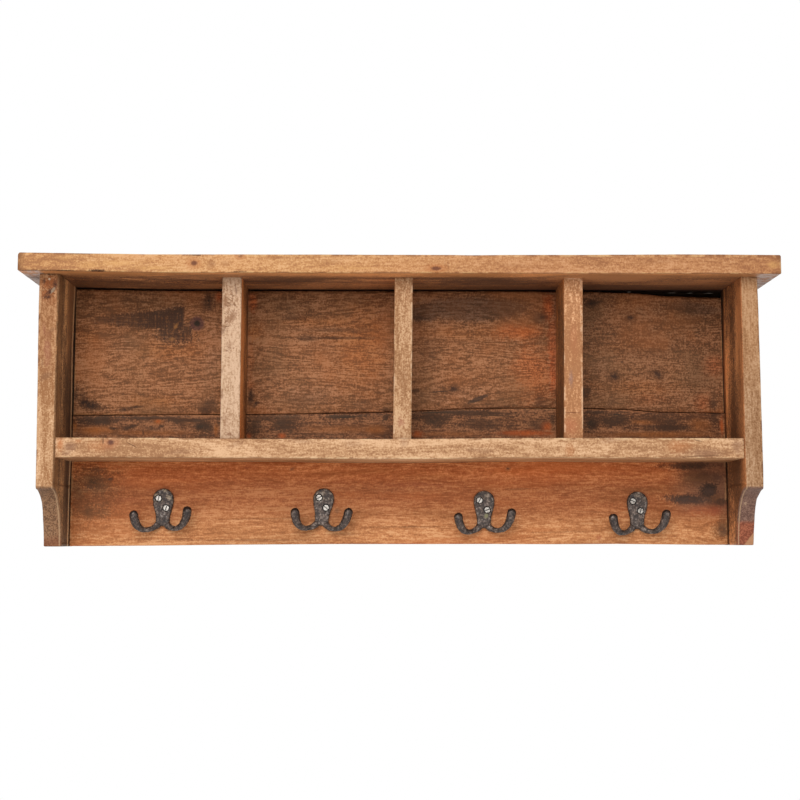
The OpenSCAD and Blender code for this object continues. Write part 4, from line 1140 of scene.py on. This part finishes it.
def upper_back():
    """Upper back board: a ragged bark edge is cut out of its front top arris, a few millimetres
    deep, and opens to a wedge at the right."""
    (low, high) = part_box("back_board_upper")
    places = back_stations()
    along = np.array([-0.45, 0.20, 0.27, 0.33, 0.37, 0.40, 0.45])
    falls = np.array([2.4, 2.4, 2.8, 5.0, 8.4, 10.0, 11.0]) * 0.001
    reach = np.array([5.0, 5.0, 9.0, 12.0, 13.0, 13.0, 13.0]) * 0.001
    foot = 0.0015 + 0.0004 * wave(places, 0.013, 52) + 0.0003 * wave(places, 0.004, 53)
    rag = wave(places, 0.02, 55) * 0.08 + wave(places, 0.006, 56) * 0.06
    return board(
        "upper_back_board", "x", places,
        (low[1] + 0.00015 * (1 + wave(places, 0.06, 51)), high[1] - 0.0002, seam_at(places) - 0.0003,
         UNDER_Z + 0.0003 + bow_at(places)),
        (0.0014, 0.001, 0.001, 0.0012), (0.0014, 0.0014, 0.0003, 0.0003), 121, (5, 40, 5, 46),
        wear=0.0012, relief=0.00025, across=((0, SEAM_DEEP), (3, np.interp(places, along, reach))),
        up=((0, foot), (3, np.interp(places, along, falls) * (1 + rag))), bulge=(1, 1, 1, 4.0))


def lower_back():
    """Hook rail, its top arris chipped along the seam and its lower one rounded by wear."""
    (low, high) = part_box("hook_rail")
    places = back_stations()
    chips = 0.0013 + 0.0004 * wave(places, 0.011, 62) + 0.0004 * wave(places, 0.004, 63)
    foot = 0.001 * np.interp(places, (-0.42, -0.34, -0.25, -0.1, 0.12, 0.2, 0.3, 0.42),
                             (0.2, 0.8, 1.9, 2.9, 3.0, 2.7, 3.1, 1.9))
    return board(
        "hook_rail_board", "x", places,
        (low[1] + 0.00015 * (1 + wave(places, 0.06, 61)), high[1] - 0.0002, FEET_Z + foot,
         seam_at(places) + 0.0003),
        (0.0016, 0.001, 0.001, 0.0014), (0.0014, 0.0014, 0.0003, 0.0003), 131, (6, 44, 5, 50),
        wear=0.0010, relief=0.00025, across=((3, SEAM_DEEP),), up=((3, chips),))


# The cast hooks

def plate_rings():
    """The plate of a hook, about its top centre: a round head, a cosine taper from the head to the
    waist and an arched foot, drawn in towards its middle as it comes forward, with a rounded
    bevel and a slight crown."""
    head, waist, end = PLATE_W / 2, WAIST_W / 2, 0.74 * HOOK_H
    turn, share = np.radians(np.linspace(0, 75, 14)), np.linspace(0, 1, 14)
    across = np.concatenate([
        head * np.sin(turn), waist + (head - waist) * (1 + np.cos(math.pi * share)) / 2,
        [waist, waist * 0.8, waist * 0.5]])
    down = np.concatenate([
        head * (1 - np.cos(turn)), head + (end - head) * share,
        [0.88 * HOOK_H, 0.905 * HOOK_H, 0.90 * HOOK_H]])
    outline = np.concatenate([
        np.stack([across, down], -1), [[0, 0.89 * HOOK_H]], np.stack([-across, down], -1)[:0:-1]])
    middle = 0.45 * HOOK_H
    turn = np.linspace(0, math.pi / 2, 7)
    forward = np.concatenate([
        [-PLATE_BACK, 0.55 * PLATE_T], PLATE_T * (0.55 + 0.40 * np.sin(turn[1:])),
        [PLATE_T * 0.985, PLATE_T]])
    inward = np.concatenate([[0, 0], 0.0019 * (1 - np.cos(turn[1:])), [0.0050, 0.0085]])
    scale_x = 1 - inward / head
    scale_z = 1 - inward / middle
    return np.stack([
        outline[None, :, 0] * scale_x[:, None],
        np.broadcast_to(-forward[:, None], (len(forward), len(outline))),
        -middle - (outline[None, :, 1] - middle) * scale_z[:, None],
    ], -1)


def tip_place(lower):
    """Middle of a right arm's tip, which hangs lower than TIP_DROP by the given length."""
    return np.array([
        HOOK_SPAN / 2 - ARM_TIP_R, -(HOOK_REACH - ARM_TIP_R), -(TIP_DROP + ARM_TIP_R) - lower])


def arm_rings(lower):
    """A right arm: rings of radius r(t), thinned to a neck and swelling to the tip, square to the
    cubic p0(1-t)^3 + 3 p1 t(1-t)^2 + 3 p2 t^2(1-t) + p3 t^3, and a round cap. lower drops its tip."""
    tip = tip_place(lower)
    low_z = HOOK_H + ARM_NECK_R * 0.25
    route = np.array([
        [WAIST_W * 0.32, -ARM_ROOT_R - 0.00015, -HOOK_H * 0.85],
        [WAIST_W * 0.75, -HOOK_REACH * 0.30, -low_z],
        [tip[0] - ARM_NECK_R, tip[1], -low_z - lower], tip])
    t = np.linspace(0, 1, 36)[:, None]
    path = ((1 - t) ** 3 * route[0] + 3 * t * (1 - t) ** 2 * route[1]
            + 3 * t * t * (1 - t) * route[2] + t ** 3 * route[3])
    along = (3 * (1 - t) ** 2 * (route[1] - route[0]) + 6 * t * (1 - t) * (route[2] - route[1])
             + 3 * t * t * (route[3] - route[2]))
    radius = np.where(
        t < 0.35, ARM_ROOT_R + (ARM_NECK_R - ARM_ROOT_R) * ease(0, 0.35, t),
        ARM_NECK_R + (ARM_TIP_R - ARM_NECK_R) * ease(0.35, 1, t))
    turn = np.linspace(0, math.radians(86), 9)[1:, None]
    end = (route[3] - route[2]) / np.linalg.norm(route[3] - route[2])
    path = np.concatenate([path, route[3] + end * ARM_TIP_R * np.sin(turn)])
    along = np.concatenate([along, np.broadcast_to(end, (len(turn), 3))])
    radius = np.concatenate([radius, ARM_TIP_R * np.cos(turn)])
    along = along / np.linalg.norm(along, axis=1, keepdims=True)
    first = np.cross([0, 1, 0], along)
    first = first / np.linalg.norm(first, axis=1, keepdims=True)
    second = np.cross(along, first)
    angle = np.linspace(0, 2 * math.pi, 28, endpoint=False)[None, :, None]
    return path[:, None] + radius[:, None] * (
        np.cos(angle) * first[:, None] + np.sin(angle) * second[:, None])


def hook_frame(number):
    """Turn and place of a hook on the rail."""
    place_x, place_z, lean, _ = HOOKS[number]
    turn = math.radians(lean)
    tilt = np.array([[math.cos(turn), 0, math.sin(turn)], [0, 1, 0], [-math.sin(turn), 0, math.cos(turn)]])
    return tilt, np.array([place_x, BACK_FACE, place_z])


def hook_spots(number):
    """Places across and up, on the rail, of a hook's two screws and two tips."""
    tilt, origin = hook_frame(number)
    left = tip_place(HOOK_H * HOOKS[number][3]) * np.array([-1, 1, 1])
    spots = np.array([(across, 0, down) for across, down in SEATS] + [tip_place(0.0), left])
    spots = spots @ tilt.T + origin
    return spots[:2, [0, 2]].tolist(), spots[2:, [0, 2]].tolist()


def vectors(items, key):
    """Reads one vector of every vertex of a mesh."""
    flat = np.empty(len(items) * 3)
    items.foreach_get(key, flat)
    return flat.reshape(-1, 3)


def cast_hook(number, material):
    """One double hook, cast in one piece: plate and arms are blended by a voxel skin, which is
    then hammered by two random fields along its normals and pressed in at the screw seats."""
    tilt, origin = hook_frame(number)
    left = arm_rings(HOOK_H * HOOKS[number][3]) * np.array([-1, 1, 1])
    parts = [plate_rings(), arm_rings(0.0), left]
    name = "cast_hook_%d" % (number + 1)
    solids = [skin("%s_part_%d" % (name, k), rings) for k, rings in enumerate(parts)]
    points, faces = [], []
    for solid in solids:
        base = sum(len(p) for p in points)
        points.append(vectors(solid.data.vertices, "co"))
        faces += [[base + k for k in polygon.vertices] for polygon in solid.data.polygons]
        bpy.data.meshes.remove(solid.data)
    piece = make_mesh(name, np.concatenate(points), faces)
    remesh = piece.modifiers.new("skin", "REMESH")
    remesh.mode, remesh.voxel_size, remesh.use_smooth_shade = "VOXEL", HOOK_VOXEL, True
    relax = piece.modifiers.new("flow", "SMOOTH")
    relax.factor, relax.iterations = 0.5, 6
    shaped = bpy.data.meshes.new_from_object(
        piece.evaluated_get(bpy.context.evaluated_depsgraph_get()))
    piece.modifiers.clear()
    piece.data = shaped
    spots, normals = vectors(shaped.vertices, "co"), vectors(shaped.vertex_normals, "vector")
    strength = 1.6 if number == 0 else 1.1
    hammer = sum(depth * rough(spots, width, 200 + 10 * number + k)
                 for k, (depth, width) in enumerate(HAMMER))
    free = ease(0.0, -0.0012, spots[:, 1])
    spots = spots + normals * (hammer * strength * free + SKIN_GROWTH)[:, None]
    for across, down in SEATS:
        away = np.hypot(spots[:, 0] - across, spots[:, 2] - down)
        cone = -PLATE_T + np.minimum(SEAT_R + 0.0001 - away, SEAT_DEEP)
        inside = (away < SEAT_R) & (spots[:, 1] < -0.001)
        spots[inside, 1] = np.maximum(spots[inside, 1], cone[inside])
    spots[:, 1] = np.minimum(spots[:, 1], PLATE_BACK)
    spots = spots @ tilt.T + origin
    shaped.vertices.foreach_set("co", spots.ravel())
    shaped.update()
    shaped.materials.clear()
    shaped.materials.append(material)
    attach(piece, "root")
    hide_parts("coat_hook_%d" % (number + 1))


# The rack

rack_board(top_board(), "top_board", top_finish(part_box("top_board")))
rack_board(
    side_board("left_side", "left_side_panel", 71,
               (-0.32, -0.285, -0.262, -0.25, -0.24, -0.20, -0.12, -0.05, 0.0, 0.03),
               (-0.4, 0.0, -1.0, -0.5, -0.3, -0.1, 0.7, 1.6, 2.0, 1.9),
               (0.3, 0.3, 0.3, 0.3, 0.3, 0.9, 0.9, 0.1, 0.9, 1.5)),
    "left_side_panel",
    side_finish("left_side_timber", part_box("left_side_panel"), 13, 1, LIT_LEFT,
                (-0.078, -0.060, -0.034, -0.042, 0.8), 0.85, left_marks))
rack_board(
    side_board("right_side", "right_side_panel", 81,
               (-0.32, -0.31, -0.285, -0.265, -0.257, -0.25, -0.22, -0.08, -0.03, 0.0, 0.03),
               (0.0, 0.0, 0.0, 0.0, 0.0, 0.0, 0.0, 0.0, 0.0, 0.0, -0.4),
               (-1.2, -0.6, -0.4, -1.0, -1.1, 0.4, 0.9, 0.4, 0.1, 0.0, -0.5), 0.0018),
    "right_side_panel",
    side_finish("right_side_timber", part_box("right_side_panel"), 17, -1, LIT_RIGHT,
                (-0.118, -0.108, -0.066, -0.082, 0.25), 0.0, right_marks))
rack_board(shelf_plank(), "shelf_board", shelf_finish(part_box("shelf_board")))
DIVIDERS = (  # node, lean, widening left and right, seed, light, grain colours, marks and scratches
    ("divider_left", 0.0004, (0.0020, 0.0), 23, LIT_PALE, PALE_DIVIDER, (
        ((150, 104, 74), ((224, 300, 5, 14, 0.7, 30), (231, 318, 5, 12, 0.6, -30), (229, 345, 6, 8, 0.35),
                          (229, 434, 4, 3, 0.7), (226, 420, 5, 12, 0.35))),
        ((120, 84, 66), ((236, 290, 2, 9, 0.6, 10), (224, 330, 2, 8, 0.5, -20)))),
     ((-32, 230, 302, 9, 24), (12, 226, 326, 6, 10), (-15, 229, 350, 7, 9))),
    ("divider_centre", 0.0023, (0.0, 0.0004), 29, LIT_FRONT, TAN_DIVIDER, (
        ((170, 104, 82), ((401, 422, 6, 7, 0.6),)),
        ((152, 104, 70), ((397, 330, 3, 20, 0.5), (404, 385, 5, 24, 0.4))))),
    ("divider_right", 0.0023, (0.0, 0.0015), 37, LIT_RIGHT_DIVIDER, TAN_DIVIDER, (
        ((168, 104, 74), ((570, 426, 12, 12, 0.5), (574, 340, 6, 30, 0.25))),
        ((134, 112, 108), ((571, 379, 3.4, 11, 0.5),)),
        ((110, 68, 48), ((571, 412.5, 12, 0.9, 0.8),)))),
)
for node, lean, wider, seed, lit, colours, *marks in DIVIDERS:
    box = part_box(node)
    rack_board(
        divider_plank(node + "_plank", node, seed, lean, wider), node,
        divider_finish(node + "_timber", box, seed, lit, colours, *marks))
rack_board(upper_back(), "back_board_upper", back_finish(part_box("back_board_upper")))
rack_board(lower_back(), "hook_rail", rail_finish(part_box("hook_rail")))

for number in range(4):
    seats, tips = hook_spots(number)
    cast_hook(number, iron_finish(
        "hook_iron_%d" % (number + 1), 3 + 5 * number, seats, tips,
        0.3 if number == 0 else 0.0, (486, 516) if number == 2 else None))

# Fittings that keep their solids
steel = metal_finish("hook_screw_nickel", (186, 180, 172), (116, 106, 98), scale=700.0, gloss=0.34,
                     slot_y=BACK_FACE - PLATE_T + HEAD_SINK)
back_steel = metal_finish("back_screw_steel", (150, 146, 140), (96, 88, 80), scale=320.0, gloss=0.42)
zinc = metal_finish("hanger_zinc", (176, 178, 180), (124, 124, 124), scale=240.0, gloss=0.40)
beech = dowel_finish()
FITTINGS = (
    (steel, ("hook_screws_1", "hook_screws_2", "hook_screws_3", "hook_screws_4")),
    (back_steel, ("upper_back_screws", "rail_screws", "hanger_screws_left", "hanger_screws_right")),
    (zinc, ("hanger_plate_left", "hanger_plate_right")),
    (beech, ("top_dowels", "divider_dowels", "shelf_dowels")),
)
for material, nodes in FITTINGS:
    for node in nodes:
        for slot in bpy.data.objects[node].material_slots:
            slot.material = material


# Studio

def floor_disc(radius, z):
    """Pale floor: a thin disc, r(t) stepping out from its middle and turning down at its rim."""
    reach = radius * np.array([0.02, 0.25, 0.5, 0.75, 0.97, 0.995, 1.0, 0.995])
    height = z - 0.02 * np.array([0, 0, 0, 0, 0, 0.15, 0.5, 1.0])
    turn = np.linspace(0, 2 * math.pi, 96, endpoint=False)
    rings = np.stack([
        reach[:, None] * np.cos(turn), reach[:, None] * np.sin(turn),
        np.broadcast_to(height[:, None], (len(reach), len(turn)))], -1)
    return skin("studio_floor", rings)


def floor_finish():
    """Pale plaster with faint clouds."""
    plaster = Finish("pale_floor")
    cloud = plaster.noise(plaster.place, 1.4, 3.0)
    colour = plaster.ramp(cloud, [(0.3, (0.78, 0.78, 0.77, 1)), (0.7, (0.84, 0.84, 0.83, 1))])
    return plaster.dress(colour, 0.8, plaster.noise(plaster.place, 60.0), 0.0002)


floor = floor_disc(radius=2.5, z=-1.25)
floor.data.materials.append(floor_finish())


def soft_box(name, place, aim, size, power):
    """Square soft light at a place, facing the point aim."""
    lamp = bpy.data.lights.new(name, "AREA")
    lamp.shape, lamp.size, lamp.energy = "SQUARE", size, power
    holder = bpy.data.objects.new(name, lamp)
    bpy.context.scene.collection.objects.link(holder)
    holder.location = place
    back = np.array(place) - np.array(aim)
    distance = np.linalg.norm(back)
    holder.rotation_euler = (
        math.acos(back[2] / distance), 0, math.atan2(back[1], back[0]) + math.pi / 2)
    return holder


soft_box("front_soft_box", place=(-0.6, -3.4, 1.3), aim=(0, 0, -0.15), size=2.4, power=95)

world = bpy.data.worlds.new("white_studio")
world.use_nodes = True
world.node_tree.nodes["Background"].inputs["Color"].default_value = (1, 1, 1, 1)
world.node_tree.nodes["Background"].inputs["Strength"].default_value = 1.0
bpy.context.scene.world = world
bpy.context.scene.view_settings.view_transform = "Standard"

lens = bpy.data.cameras.new("photograph_eye")
lens.lens, lens.sensor_width = LENS, SENSOR
eye = bpy.data.objects.new("photograph_eye", lens)
eye.location = EYE
eye.rotation_euler = (math.pi / 2 + PITCH, 0, YAW)
bpy.context.scene.collection.objects.link(eye)
bpy.context.scene.camera = eye
